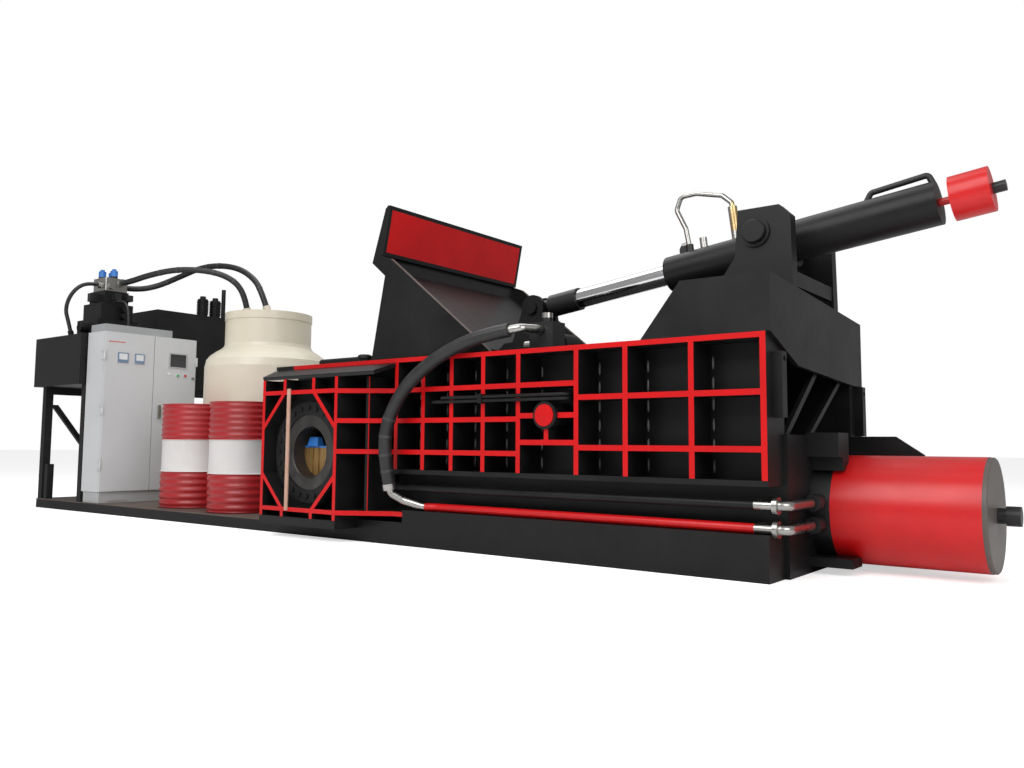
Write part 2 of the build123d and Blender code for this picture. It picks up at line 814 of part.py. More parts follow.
with BuildPart() as lid_frame:
    side_plate(plate_outline, (-lid_half_width, inner_y[0]))
    side_plate(plate_outline, (inner_y[1], lid_half_width))
    side_plate(shell_outline, inner_y)
    side_plate([cavity_left, cavity_peak, cavity_right], inner_y, Mode.SUBTRACT)
    slab(
        (lid_foot[0] + 10, lid_toe[0] - 30),
        (-lid_half_width, lid_half_width),
        (lid_foot[1], lid_foot[1] + lid_skin),
    )
    for y in arm_spans:
        side_plate(
            [
                (1700, box_top + lid_skin),
                (press_box_right, box_top + lid_skin),
                (hinge_x, hinge_z - knuckle_radius + 2),
                (hinge_x, hinge_z + knuckle_radius),
                (1790, 1290),
            ],
            y,
        )
        bar((hinge_x, y[0], hinge_z), (0, 1, 0), knuckle_radius, y[1] - y[0])
        bar((hinge_x, y[0], hinge_z), (0, 1, 0), hinge_radius + bore_gap, y[1] - y[0], Mode.SUBTRACT)
    for sign in (-1, 1):
        y = sorted((sign * lug_inner, sign * (lug_inner + lug_thick)))
        side_plate(
            [
                (eye_x - 170, 1320),
                (eye_x - 10, box_top + 8),
                (eye_x + 130, box_top + 8),
                (eye_x + lug_radius, eye_z - 30),
                (eye_x, eye_z),
                (eye_x - lug_radius, eye_z - 20),
            ],
            y,
        )
        bar((eye_x, y[0], eye_z), (0, 1, 0), lug_radius, lug_thick)
    for sign in (-1, 1):
        y = sorted((sign * (lug_inner + lug_thick), sign * (lug_inner + lug_thick + 22)))
        bar((eye_x, y[0], eye_z), (0, 1, 0), 44, 22)
lid_frame.part.label = "lid_frame"
export_step(lid_frame.part, "parts/lid_frame.step")

sign_plane = Plane(
    origin=(
        (recess_foot[0] + recess_top[0]) / 2 + sign_normal[0] * 1,
        0,
        (recess_foot[1] + recess_top[1]) / 2 + sign_normal[1] * 1,
    ),
    x_dir=(0, 1, 0),
    z_dir=(sign_normal[0], 0, sign_normal[1]),
)
with BuildPart() as sign_board:
    with BuildSketch(sign_plane.offset(-1)):
        Rectangle(2 * lid_half_width, sign_run)
    extrude(amount=sign_thick)
    with BuildSketch(sign_plane.offset(-1 + sign_thick)):
        Rectangle(2 * lid_half_width, sign_run)
        Rectangle(2 * (lid_half_width - sign_border), sign_run - 2 * sign_border, mode=Mode.SUBTRACT)
    extrude(amount=2)
    with BuildSketch(sign_plane.offset(-1 + sign_thick)):
        Rectangle(2 * (lid_half_width - sign_border), sign_run - 2 * sign_border)
    extrude(amount=1.2)
sign_board.part.label = "sign_board"
export_step(sign_board.part, "parts/sign_board.step")


def on_arc(radius, z):
    """Point of an arc about the hinge, at a height below it, on the lid's side."""
    return (hinge_x - sqrt(radius**2 - (z - hinge_z) ** 2), z)


arc_in = press_box_arc - 40
low_in = press_box_z + 40
mid_z = (press_box_z + box_top) / 2
with BuildPart() as press_box:
    with BuildSketch(Plane.XZ.offset(-cheek_outer)):
        with BuildLine():
            Polyline(
                on_arc(press_box_arc, box_top),
                (press_box_right, box_top),
                (press_box_right, press_box_z),
                on_arc(press_box_arc, press_box_z),
            )
            ThreePointArc(
                on_arc(press_box_arc, press_box_z),
                on_arc(press_box_arc, mid_z),
                on_arc(press_box_arc, box_top),
            )
        make_face()
    extrude(amount=2 * cheek_outer)
    with BuildSketch(Plane.XZ.offset(-cheek_inner)):
        with BuildLine():
            Polyline(
                on_arc(arc_in, box_top + 1),
                (press_box_right - 30, box_top + 1),
                (press_box_right - 30, low_in),
                on_arc(arc_in, low_in),
            )
            ThreePointArc(on_arc(arc_in, low_in), on_arc(arc_in, mid_z), on_arc(arc_in, box_top + 1))
        make_face()
    extrude(amount=2 * cheek_inner, mode=Mode.SUBTRACT)
press_box.part.label = "press_box"
export_step(press_box.part, "parts/press_box.step")

hinge_block = 60.0
with BuildPart() as hinge_blocks:
    for y0, y1 in arm_spans:
        for start in (y0 - 2 - hinge_block, y1 + 2):
            slab((hinge_x - 62, hinge_x + 62), (start, start + hinge_block), (wall_top, hinge_z))
            bar((hinge_x, start, hinge_z), (0, 1, 0), 62, hinge_block)
            bar((hinge_x, start, hinge_z), (0, 1, 0), hinge_radius, hinge_block, Mode.SUBTRACT)
    for y0, y1 in arm_spans:
        pin_start = y0 - 2 - hinge_block - 6
        bar((hinge_x, pin_start, hinge_z), (0, 1, 0), hinge_radius, y1 - y0 + 2 * (2 + hinge_block) + 12)
hinge_blocks.part.label = "hinge_blocks"
export_step(hinge_blocks.part, "parts/hinge_blocks.step")

# Lid cylinder: rod, barrel, trunnion ring, end cap and pipework
back_dir = tuple(-value for value in cylinder_dir)
with BuildPart() as lid_rod:
    bar(along(-rod_reach + 300), cylinder_dir, rod_radius, rod_reach - 300 - 620)
    bar(along(-620), cylinder_dir, piston_radius, 60)
    bar((eye_x, -50, eye_z), (0, 1, 0), eye_radius, 100)
    bar(along(-rod_reach + 30), cylinder_dir, 50, 90)
    bar(along(-rod_reach + 110), cylinder_dir, socket_radius, 220)
lid_rod.part.label = "lid_rod"
export_step(lid_rod.part, "parts/lid_rod.step")

barrel_front = -694.0
barrel_back = 838.0
with BuildPart() as lid_barrel:
    bar(along(barrel_front), cylinder_dir, barrel_front_radius, -barrel_front)
    bar(along(0), cylinder_dir, barrel_radius, barrel_back)
    bar(along(barrel_front), cylinder_dir, rod_radius + bore_gap, 60, Mode.SUBTRACT)
    bar(along(barrel_front + 60), cylinder_dir, lid_bore, barrel_back - barrel_front - 120, Mode.SUBTRACT)
lid_barrel.part.label = "lid_barrel"
export_step(lid_barrel.part, "parts/lid_barrel.step")

with BuildPart() as trunnion_ring:
    bar(along(-80), cylinder_dir, 145, 160)
    pin_reach = bracket_inner + bracket_thick
    bar((trunnion[0], -pin_reach, trunnion[2]), (0, 1, 0), pin_radius, 2 * pin_reach)
    bar(along(-80), cylinder_dir, barrel_front_radius, 80, Mode.SUBTRACT)
    bar(along(0), cylinder_dir, barrel_radius, 80, Mode.SUBTRACT)
    for sign in (-1, 1):
        start = (trunnion[0], sign * (pin_reach + fit_gap), trunnion[2])
        bar(start, (0, sign, 0), 80, 14)
        bar((start[0], start[1] + sign * 14, start[2]), (0, sign, 0), 62, 26)
    chamfer(trunnion_ring.edges().filter_by(GeomType.CIRCLE).sort_by(Axis.Y)[0], 4)
trunnion_ring.part.label = "trunnion_ring"
export_step(trunnion_ring.part, "parts/trunnion_ring.step")

with BuildPart() as lid_cap:
    bar(along(barrel_back), cylinder_dir, 20, cap_gap)
    bar(along(barrel_back + cap_gap), cylinder_dir, barrel_radius, 182)
    bar(along(barrel_back + cap_gap + 182), cylinder_dir, 28, 62)
lid_cap.part.label = "lid_cap"
export_step(lid_cap.part, "parts/lid_cap.step")

loop_points = [
    along(-548, 0, 120),
    along(-556, 0, 255),
    along(-600, 0, 385),
    along(-560, 0, 460),
    along(-460, 0, 452),
    along(-300, 0, 390),
    along(-248, 0, 330),
    along(-248, 0, 180),
]
with BuildPart() as lid_pipework:
    handle_points = [along(491, 0, 108), along(521, 0, 150), along(808, 0, 159), along(824, 0, 108)]
    with BuildLine():
        FilletPolyline(*handle_points, radius=24)
    handle_rise = Vector(*handle_points[1]) - Vector(*handle_points[0])
    with BuildSketch(Plane(origin=handle_points[0], z_dir=handle_rise)):
        Circle(16)
    sweep()
    bar(along(0), cylinder_dir, barrel_radius, barrel_back, Mode.SUBTRACT)
    for distance, radius, height in ((-548, 24, 52), (-455, 22, 72), (-248, 27, 205)):
        bar(along(distance, 0, 98), (back_dir[2], 0, -back_dir[0]), radius, height)
    plate_corners = [(-622, 0), (-560, 0), (-560, 176), (-600, 176), (-622, 140)]
    side_plate([along(reach, 0, lift)[::2] for reach, lift in plate_corners], (10, 34))
    bar(along(barrel_front + 10), cylinder_dir, barrel_front_radius, -barrel_front - 10, Mode.SUBTRACT)
    with BuildLine():
        FilletPolyline(*loop_points, radius=[60, 34, 34, 60, 28, 24])
    loop_rise = Vector(*loop_points[1]) - Vector(*loop_points[0])
    with BuildSketch(Plane(origin=loop_points[0], z_dir=loop_rise)):
        Circle(15)
    sweep()
lid_pipework.part.label = "lid_pipework"
export_step(lid_pipework.part, "parts/lid_pipework.step")


# Sight port in the front wall's narrow bay
with BuildPart() as sight_port:
    bar((window_x, -wall_outer, window_rows[1]), (0, -1, 0), window_radius - fit_gap, 200)
    bar((window_x, -half_width - fit_gap, window_rows[1]), (0, -1, 0), 78, 18)
    bar((window_x, -half_width, window_rows[1]), (0, -1, 0), 20, 3)
    bar((window_x, -half_width - 18 - fit_gap, window_rows[1]), (0, -1, 0), 62, 6)
sight_port.part.label = "sight_port"
export_step(sight_port.part, "parts/sight_port.step")


# Rigid pipes along the front of the main cylinder's housing
def rigid_pipe(points, radius, bend):
    """Sweep a rigid pipe along straight runs joined by bends."""
    with BuildLine() as route:
        FilletPolyline(*points, radius=bend)
    first = Vector(*points[0])
    with BuildSketch(Plane(origin=first, z_dir=Vector(*points[1]) - first)) as section:
        Circle(radius)
    sweep(section.sketch, path=route.line)


pipe_y = -720.0
red_pipe_z = 248.0
black_pipe_z = 360.0
pipe_end_x = 3585.0
red_start_x = 1640.0
with BuildPart() as red_pipe:
    bar((red_start_x, pipe_y, red_pipe_z), (1, 0, 0), 24, pipe_end_x - red_start_x)
red_pipe.part.label = "red_pipe"
export_step(red_pipe.part, "parts/red_pipe.step")

thin_pipe_y = -half_width - 20
with BuildPart() as black_pipes:
    rigid_pipe(
        [
            (1130, -wall_outer, black_pipe_z),
            (1130, pipe_y, black_pipe_z),
            (pipe_end_x, pipe_y, black_pipe_z),
        ],
        22,
        60,
    )
    for z, x0 in ((898, 1540), (922, 1610)):
        rigid_pipe(
            [(x0, -wall_outer, z), (x0, thin_pipe_y, z), (2545, thin_pipe_y, z), (2545, -wall_outer, z)],
            10,
            35,
        )
    slab((1926, 1956), (thin_pipe_y - 14, -half_width), (882, 938))
black_pipes.part.label = "black_pipes"
export_step(black_pipes.part, "parts/black_pipes.step")

main_route = [
    (1240, -850, 390),
    (1226, -876, 545),
    (1230, -885, 705),
    (1290, -885, 860),
    (1420, -885, 1015),
    (1600, -862, 1148),
    (1800, -830, 1243),
    (1985, -795, 1294),
    (2120, -762, 1312),
]
foot_point = Vector(*main_route[0])
foot_dir = (foot_point - Vector(*main_route[1])).normalized()
top_point = Vector(*main_route[-1])
top_dir = (top_point - Vector(*main_route[-2])).normalized()
foot_start = foot_point + foot_dir * fit_gap
top_start = top_point + top_dir * fit_gap
with BuildPart() as pipe_fittings:
    for z in (red_pipe_z, black_pipe_z):
        rigid_pipe(
            [(pipe_end_x, pipe_y, z), (3745, pipe_y, z), (3745, -360, z)],
            24,
            45,
        )
        bar((3680, pipe_y, z), (1, 0, 0), 42, 24)
        bar((3745, -372, z), (0, 1, 0), 42, 122)
        slab((pipe_end_x, pipe_end_x + 25), (pipe_y, -wall_outer), (z - 24, z + 24))
    bar((3690, 0, cylinder_z), (1, 0, 0), cylinder_radius, 110, Mode.SUBTRACT)
    rigid_pipe(
        [
            tuple(foot_start),
            tuple(foot_start + foot_dir * 60),
            (1320, -800, 285),
            (1440, -745, red_pipe_z),
            (1540, pipe_y, red_pipe_z),
            (red_start_x, pipe_y, red_pipe_z),
        ],
        24,
        [35, 60, 120, 120],
    )
    bar(foot_start, foot_dir, 46, 38)
    rigid_pipe(
        [
            tuple(top_start),
            tuple(top_start + top_dir * 70),
            (2235, -650, 1322),
            (2235, -560, 1322),
        ],
        26,
        40,
    )
    slab((2150, 2320), (-600, -470), (wall_top, 1370))
    bar((2235, -535, 1370), (0, 0, 1), 34, 60)
    bar((2190, -535, 1240), (-1, 0, 0), 30, 110)
pipe_fittings.part.label = "pipe_fittings"
export_step(pipe_fittings.part, "parts/pipe_fittings.step")

# Limit plunger on the front top bar
plunger_travel = 6.0
with BuildPart() as limit_plunger:
    bar((plunger_at[0], plunger_at[1], wall_top + plunger_travel + 1), (0, 0, 1), 12, 30)
    bar((plunger_at[0], plunger_at[1], wall_top + 16 + plunger_travel + 1), (0, 0, 1), 50, 30)
    fillet(limit_plunger.edges().filter_by(GeomType.CIRCLE).group_by(Axis.Z)[-1], 22)
limit_plunger.part.label = "limit_plunger"
export_step(limit_plunger.part, "parts/limit_plunger.step")

# Power unit: an oil tank on legs with pumps below and a valve stack on top
tank_wall = 12.0
leg_spots = [
    (-3675.0, -768.0),
    (-2910.0, -768.0),
    (-3675.0, 690.0),
    (-2910.0, 690.0),
]
tank_port = Vector(-3220, -735, tank_top - 5)
tank_port_dir = Vector(0.05, -0.28, 0.958).normalized()
tank_port_length = 65.0
with BuildPart() as oil_tank:
    slab((tank_left, tank_right), (tank_front, tank_back), (tank_bottom, tank_top))
    slab((tank_left, tank_right), (riser_front, tank_back), (tank_top, riser_top))
    slab(
        (tank_left + tank_wall, tank_right - tank_wall),
        (tank_front + tank_wall, tank_back - tank_wall),
        (tank_bottom + tank_wall, tank_top - tank_wall),
        mode=Mode.SUBTRACT,
    )
    slab(
        (tank_left + tank_wall, tank_right - tank_wall),
        (riser_front + tank_wall, tank_back - tank_wall),
        (tank_top - tank_wall, riser_top - tank_wall),
        mode=Mode.SUBTRACT,
    )
    bar((-3640, 300, riser_top - tank_wall), (0, 0, 1), 45, tank_wall + 30)
    bar((-3500, -600, tank_top - tank_wall), (0, 0, 1), 40, tank_wall + 45)
    bar(tank_port, tank_port_dir, 26, tank_port_length)
oil_tank.part.label = "oil_tank"
export_step(oil_tank.part, "parts/oil_tank.step")

with BuildPart() as tank_legs:
    for x, y in leg_spots:
        slab((x, x + post_size), (y, y + post_size), (deck_top, tank_bottom))
    for x in (-3675.0, -2910.0):
        slab((x + 15, x + 55), (-768 + post_size, 690), (tank_bottom - 70, tank_bottom))
    cross_plate([(-700, 1000), (-640, 1000), (-100, 300), (-160, 300)], (-3660, -3620))
    slab((-3660, -3620), (-160, -100), (deck_top, 300))
    slab((-3560, -3500), (-768, -708), (deck_top, 420))
tank_legs.part.label = "tank_legs"
export_step(tank_legs.part, "parts/tank_legs.step")

with BuildPart() as pump_motors:
    for x in (-3080.0, -3440.0):
        bar((x, 60, 330), (0, 1, 0), 150, 420)
        bar((x, 480, 330), (0, 1, 0), 128, 60)
        bar((x, -60, 330), (0, 1, 0), 85, 120)
        slab((x - 60, x + 60), (-240, -60), (270, 400))
        slab((x - 120, x + 120), (100, 440), (deck_top, 220))
        slab((x - 55, x + 55), (180, 330), (460, 530))
        for index in range(9):
            y = 90 + index * 42
            bar((x, y, 330), (0, 1, 0), 162, 12)
    slab((-3120, -3040), (-240, -160), (400, tank_bottom))
    slab((-3480, -3400), (-240, -160), (400, tank_bottom))
pump_motors.part.label = "pump_motors"
export_step(pump_motors.part, "parts/pump_motors.step")

with BuildPart() as valve_stack:
    slab((-3300, -2900), (-650, -250), (tank_top, tank_top + 170))
    slab((-3270, -2930), (-610, -290), (tank_top + 170, tank_top + 330))
    slab((-3240, -2950), (-570, -330), (tank_top + 330, 2100))
    for z in (tank_top + 210, tank_top + 280):
        bar((-3270, -450, z), (-1, 0, 0), 32, 130)
        bar((-2930, -400, z), (1, 0, 0), 30, 60)
    bar((-3100, -650, tank_top + 85), (0, -1, 0), 45, 80)
valve_stack.part.label = "valve_stack"
export_step(valve_stack.part, "parts/valve_stack.step")

manifold_top = 2230.0
with BuildPart() as valve_manifold:
    slab((-3200, -2960), (-560, -340), (2100, manifold_top))
    chamfer(valve_manifold.edges().filter_by(Axis.Z), 6)
    bar((-2960, -400, 2190), (1, 0, 0), 40, 20)
    bar((-2960, -500, 2150), (1, 0, 0), 34, 30)
    bar((-3080, -340, 2170), (0, 1, 0), 40, 20)
    bar((-3080, -560, 2165), (0, -1, 0), 36, 24)
valve_manifold.part.label = "valve_manifold"
export_step(valve_manifold.part, "parts/valve_manifold.step")

with BuildPart() as solenoid_caps:
    for x, y in ((-3150, -500), (-3150, -400), (-3020, -450)):
        bar((x, y, manifold_top), (0, 0, 1), 34, 80)
        bar((x, y, manifold_top + 80), (0, 0, 1), 20, 18)
    for y in (-470, -350):
        slab((-2950, -2880), (y - 30, y + 30), (2010, 2070))
    slab((-3120, -3060), (-652, -570), (1990, 2070))
solenoid_caps.part.label = "solenoid_caps"
export_step(solenoid_caps.part, "parts/solenoid_caps.step")

with BuildPart() as return_filters:
    for y in (500.0, 650.0):
        bar((-2960, y, riser_top), (0, 0, 1), 52, 190)
        for index in range(9):
            bar((-2960, y, riser_top + 30 + index * 17), (0, 0, 1), 60, 8)
        bar((-2960, y, riser_top + 190), (0, 0, 1), 30, 30)
    bar((-2930, 730, riser_top), (0, 0, 1), 22, 320)
return_filters.part.label = "return_filters"
export_step(return_filters.part, "parts/return_filters.step")

# Control cabinet with two doors
cabinet_back = cabinet_face - cabinet_depth
door_back = cabinet_face - door_thick
cabinet_pin = 5.0
pin_x = cabinet_face + 6
knuckle_r = 8.5
knuckle_z = [400.0, 900.0, 1400.0]
knuckle_h = 60.0
with BuildPart() as cabinet_body:
    slab((cabinet_back, door_back - 3), (cabinet_y0, cabinet_y1), (plinth_top, cabinet_top))
    slab(
        (cabinet_back + sheet, door_back - 3),
        (cabinet_y0 + sheet, cabinet_y1 - sheet),
        (plinth_top + sheet, cabinet_top - sheet),
        mode=Mode.SUBTRACT,
    )
    slab(
        (cabinet_back + 20, cabinet_face - 20),
        (cabinet_y0 + 10, cabinet_y1 - 10),
        (deck_top, plinth_top),
    )
    slab((cabinet_face - 20, cabinet_face - 14), (-685, -503), (104, 162))
    slab((cabinet_back + sheet, cabinet_back + sheet + 4), (-700, 80), (300, 1500))
    for y in (-600.0, -400.0, -100.0):
        slab((cabinet_back + sheet + 4, cabinet_back + 110), (y - 70, y + 70), (900, 1150))
    slab((door_back - 30, door_back - 3), (door_split - 10, door_split + 10), (plinth_top, cabinet_top))
    for sign, edge_y in ((-1, cabinet_y0), (1, cabinet_y1)):
        hinge_y = edge_y + sign * 6
        for z in knuckle_z:
            bar((pin_x, hinge_y, z - 14), (0, 0, 1), cabinet_pin, knuckle_h + 28)
            for lug_z in (z - 14, z + knuckle_h + 2):
                bar((pin_x, hinge_y, lug_z), (0, 0, 1), knuckle_r - 0.6, 12)
                lug_y = sorted((edge_y, edge_y + sign * 12))
                slab((door_back - 40, door_back - 3), lug_y, (lug_z, lug_z + 12))
                lug_y = sorted((edge_y + sign * 4, edge_y + sign * 12))
                slab((door_back - 40, pin_x), lug_y, (lug_z, lug_z + 12))
cabinet_body.part.label = "cabinet_body"
export_step(cabinet_body.part, "parts/cabinet_body.step")

with BuildPart() as cabinet_crown:
    slab((cabinet_back + 25, cabinet_face - 35), (-760, -95), (cabinet_top, cabinet_top + 70))
    slab(
        (cabinet_back + 31, cabinet_face - 41),
        (-754, -101),
        (cabinet_top, cabinet_top + 64),
        mode=Mode.SUBTRACT,
    )
cabinet_crown.part.label = "cabinet_crown"
export_step(cabinet_crown.part, "parts/cabinet_crown.step")

door_z = (plinth_top + 4, cabinet_top - 4)
lamp_holes = [(-46.0, 1285.0), (33.0, 1287.0)]
handle_y = -233.0
handle_z = 975.0


def door_knuckles(edge_y, sign):
    """Add the three hinge barrels on the outer edge of a cabinet door."""
    hinge_y = edge_y + sign * 6
    for z in knuckle_z:
        bar((pin_x, hinge_y, z), (0, 0, 1), knuckle_r, knuckle_h)
        leaf_y = sorted((edge_y - sign * 12, hinge_y))
        slab((cabinet_face - 8, pin_x), leaf_y, (z, z + knuckle_h))
        bar((pin_x, hinge_y, z), (0, 0, 1), cabinet_pin + 0.08, knuckle_h, Mode.SUBTRACT)


with BuildPart() as cabinet_door_left:
    slab((door_back, cabinet_face), (cabinet_y0 + 1, door_split - door_gap), door_z)
    door_knuckles(cabinet_y0, -1)
    for y0, y1 in ((-654, -553), (-489, -395)):
        slab((cabinet_face, cabinet_face + 8), (y0, y1), (1370, 1462))
    slab((cabinet_face, cabinet_face + 1), (-743, -587), (1553, 1631))
    with BuildSketch(Plane.YZ.offset(cabinet_face)):
        with Locations((-526, 804)):
            RegularPolygon(52, 3, rotation=90)
    extrude(amount=1)
cabinet_door_left.part.label = "cabinet_door_left"
export_step(cabinet_door_left.part, "parts/cabinet_door_left.step")

with BuildPart() as cabinet_door_right:
    slab((door_back, cabinet_face), (door_split + door_gap, cabinet_y1 - 1), door_z)
    door_knuckles(cabinet_y1, 1)
    slab((cabinet_face, cabinet_face + 6), (-144, 55), (1354, 1502))
    slab((cabinet_face, cabinet_face + 8), (-128, 39), (1366, 1490), mode=Mode.SUBTRACT)
    slab((cabinet_face, cabinet_face + 3), (-128, 39), (1366, 1490))
    bar((cabinet_face, -138, 1295), (1, 0, 0), 12, 10)
    bar((cabinet_face, 121, 1266), (1, 0, 0), 14, 10)
    for y, z in lamp_holes:
        bar((cabinet_face, y, z), (1, 0, 0), 17, 5)
        bar((door_back, y, z), (1, 0, 0), 11.08, door_thick + 5, Mode.SUBTRACT)
    bar((door_back, handle_y, handle_z), (1, 0, 0), 8.08, door_thick, Mode.SUBTRACT)
cabinet_door_right.part.label = "cabinet_door_right"
export_step(cabinet_door_right.part, "parts/cabinet_door_right.step")

with BuildPart() as cabinet_handle:
    bar((door_back, handle_y, handle_z), (1, 0, 0), 8, door_thick + 18)
    slab(
        (cabinet_face + 18, cabinet_face + 30),
        (handle_y - 14, handle_y + 14),
        (handle_z - 115, handle_z + 16),
    )
    fillet(cabinet_handle.edges().filter_by(Axis.X), 5)
cabinet_handle.part.label = "cabinet_handle"
export_step(cabinet_handle.part, "parts/cabinet_handle.step")

button_travel = 4.0


def push_button(spot):
    """Build one push button whose stem passes through the door."""
    y, z = spot
    bar((door_back + 6, y, z), (1, 0, 0), 11, door_thick + 6)


with BuildPart() as start_button:
    push_button(lamp_holes[0])
start_button.part.label = "start_button"
export_step(start_button.part, "parts/start_button.step")

with BuildPart() as stop_button:
    push_button(lamp_holes[1])
stop_button.part.label = "stop_button"
export_step(stop_button.part, "parts/stop_button.step")

# Cooling tower: one shell of basin, casing and open neck, with a fan
shaft_radius = 12.0
fan_z = 1640.0
tower_outline = [
    (0, deck_top),
    (tower_low_radius, deck_top),
    (tower_low_radius, tower_basin_top),
    (tower_radius, tower_casing_z),
    (tower_radius, tower_shoulder_z),
    (tower_radius - 14, tower_shoulder_z + 67),
    (tower_radius - 47, tower_shoulder_z + 109),
    (tower_radius - 93, tower_shoulder_z + 144),
    (tower_radius - 134, tower_shoulder_z + 169),
    (tower_neck_radius + 11, tower_shoulder_z + 191),
    (tower_neck_radius, tower_neck_z),
    (tower_neck_radius, tower_top - tower_rim_height),
    (tower_neck_radius + tower_rim, tower_top - tower_rim_height),
    (tower_neck_radius + tower_rim, tower_top),
    (tower_neck_radius - tower_wall, tower_top),
    (tower_neck_radius - tower_wall, tower_neck_z - 4),
    (tower_neck_radius - 4, tower_shoulder_z + 180),
    (tower_radius - 142, tower_shoulder_z + 157),
    (tower_radius - 101, tower_shoulder_z + 132),
    (tower_radius - 57, tower_shoulder_z + 98),
    (tower_radius - 25, tower_shoulder_z + 60),
    (tower_radius - tower_wall, tower_shoulder_z),
    (tower_radius - tower_wall, tower_casing_z + 10),
    (tower_low_radius - tower_wall, tower_basin_top + 4),
    (tower_low_radius - tower_wall, deck_top + tower_wall),
    (0, deck_top + tower_wall),
]
tower_axis = Axis((tower_x, tower_y, 0), (0, 0, 1))
inlet_feet = [Vector(-1860, 295, tower_top - 10), Vector(-1575, 320, tower_top - 10)]
inlet_dirs = [Vector(-0.042, -0.237, 0.97).normalized(), Vector(-0.269, -0.202, 0.942).normalized()]
inlet_length = 110.0
with BuildPart() as cooling_tower:
    with BuildSketch(Plane(origin=(tower_x, tower_y, 0), x_dir=(1, 0, 0), z_dir=(0, -1, 0))):
        Polygon(*tower_outline, align=None)
    revolve(axis=tower_axis)
    reach = sqrt((tower_neck_radius - 5) ** 2 - 65**2)
    slab(
        (tower_x - reach, tower_x + reach),
        (tower_y - 65, tower_y + 65),
        (tower_top - 60, tower_top - 2),
    )
    for inlet_foot, inlet_dir in zip(inlet_feet, inlet_dirs):
        bar(inlet_foot, inlet_dir, 36, inlet_length)
    slab(
        (tower_x - tower_neck_radius + 6, tower_x + tower_neck_radius - 6),
        (tower_y - 20, tower_y + 20),
        (1548, 1572),
    )
    bar((tower_x, tower_y, 1520), (0, 0, 1), 75, 90)
    bar((tower_x, tower_y, 1610), (0, 0, 1), shaft_radius, 90)
cooling_tower.part.label = "cooling_tower"
export_step(cooling_tower.part, "parts/cooling_tower.step")

blade_count = 6
with BuildPart() as tower_fan:
    bar((tower_x, tower_y, fan_z - 20), (0, 0, 1), 60, 45)
    for index in range(blade_count):
        with Locations(Location((tower_x, tower_y, fan_z), (0, 0, index * 360 / blade_count))):
            with Locations(Location((205, 0, 0), (28, 0, 0))):
                Box(310, 110, 6)
    bar((tower_x, tower_y, fan_z - 60), (0, 0, 1), shaft_radius + 0.08, 130, Mode.SUBTRACT)
tower_fan.part.label = "tower_fan"
export_step(tower_fan.part, "parts/tower_fan.step")


# Oil drums on the deck
def oil_drum(spot):
    """Build one closed steel drum with chimes, two rolling hoops and two bungs."""
    x, y = spot
    body = drum_radius - 7
    bar((x, y, deck_top), (0, 0, 1), body, drum_height)
    for z in (0, drum_height - 12):
        bar((x, y, deck_top + z), (0, 0, 1), drum_radius, 12)
    for share in (1, 2):
        z = deck_top + share * drum_height / 3
        bar((x, y, z - 9), (0, 0, 1), drum_radius, 18)
    for share in (0.5, 1.5, 2.5):
        z = deck_top + share * drum_height / 3
        bar((x, y, z - 60), (0, 0, 1), body + 2, 14)
        bar((x, y, z + 46), (0, 0, 1), body + 2, 14)
    bar((x, y, deck_top + drum_height - 14), (0, 0, 1), body - 6, 14, Mode.SUBTRACT)
    bar((x, y + body - 60, deck_top + drum_height - 14), (0, 0, 1), 34, 10)
    bar((x, y - body + 60, deck_top + drum_height - 14), (0, 0, 1), 20, 10)


with BuildPart() as drum_left:
    oil_drum(drum_spots[0])
drum_left.part.label = "drum_left"
export_step(drum_left.part, "parts/drum_left.step")

with BuildPart() as drum_right:
    oil_drum(drum_spots[1])
drum_right.part.label = "drum_right"
export_step(drum_right.part, "parts/drum_right.step")

# Hoses
with BuildPart() as main_hose:
    cord("main_hose", main_route, 42)
main_hose.part.label = "main_hose"
export_step(main_hose.part, "parts/main_hose.step")

def hose_end(foot, direction, stub, last_run):
    """Give a hose's last two route points above a tilted stub."""
    tip = foot + direction * (stub + fit_gap)
    return [tuple(tip + direction * last_run), tuple(tip)]


near_route = [
    (-2939.7, -400, 2190),
    (-2820, -400, 2190),
    (-2620, -310, 2250),
    (-2400, -190, 2295),
    (-2210, -60, 2295),
    (-2040, 70, 2262),
    (-1920, 175, 2180),
] + hose_end(inlet_feet[0], inlet_dirs[0], inlet_length, 125)
with BuildPart() as tower_hose_near:
    cord("tower_hose_near", near_route, 28)
tower_hose_near.part.label = "tower_hose_near"
export_step(tower_hose_near.part, "parts/tower_hose_near.step")

far_route = [
    (-3080, -319.7, 2170),
    (-3080, -180, 2170),
    (-2990, -10, 2220),
    (-2790, 120, 2320),
    (-2500, 160, 2385),
    (-2200, 190, 2380),
    (-1925, 225, 2318),
    (-1735, 258, 2195),
] + hose_end(inlet_feet[1], inlet_dirs[1], inlet_length, 150)
with BuildPart() as tower_hose_far:
    cord("tower_hose_far", far_route, 28)
tower_hose_far.part.label = "tower_hose_far"
export_step(tower_hose_far.part, "parts/tower_hose_far.step")

valve_route = [
    (-3080, -584.3, 2165),
    (-3080, -680, 2165),
    (-3110, -770, 2105),
    (-3160, -815, 2000),
    (-3205, -815, 1890),
] + hose_end(tank_port, tank_port_dir, tank_port_length, 95)
with BuildPart() as valve_hose:
    cord("valve_hose", valve_route, 18)
valve_hose.part.label = "valve_hose"
export_step(valve_hose.part, "parts/valve_hose.step")
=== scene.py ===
"""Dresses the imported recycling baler: finishes, hoses, drums, welds, stage, lights and camera."""

import logging
import math
from dataclasses import dataclass, field
from enum import Enum
from typing import Sequence, Union

import bmesh
import bpy
from mathutils import Matrix, Vector


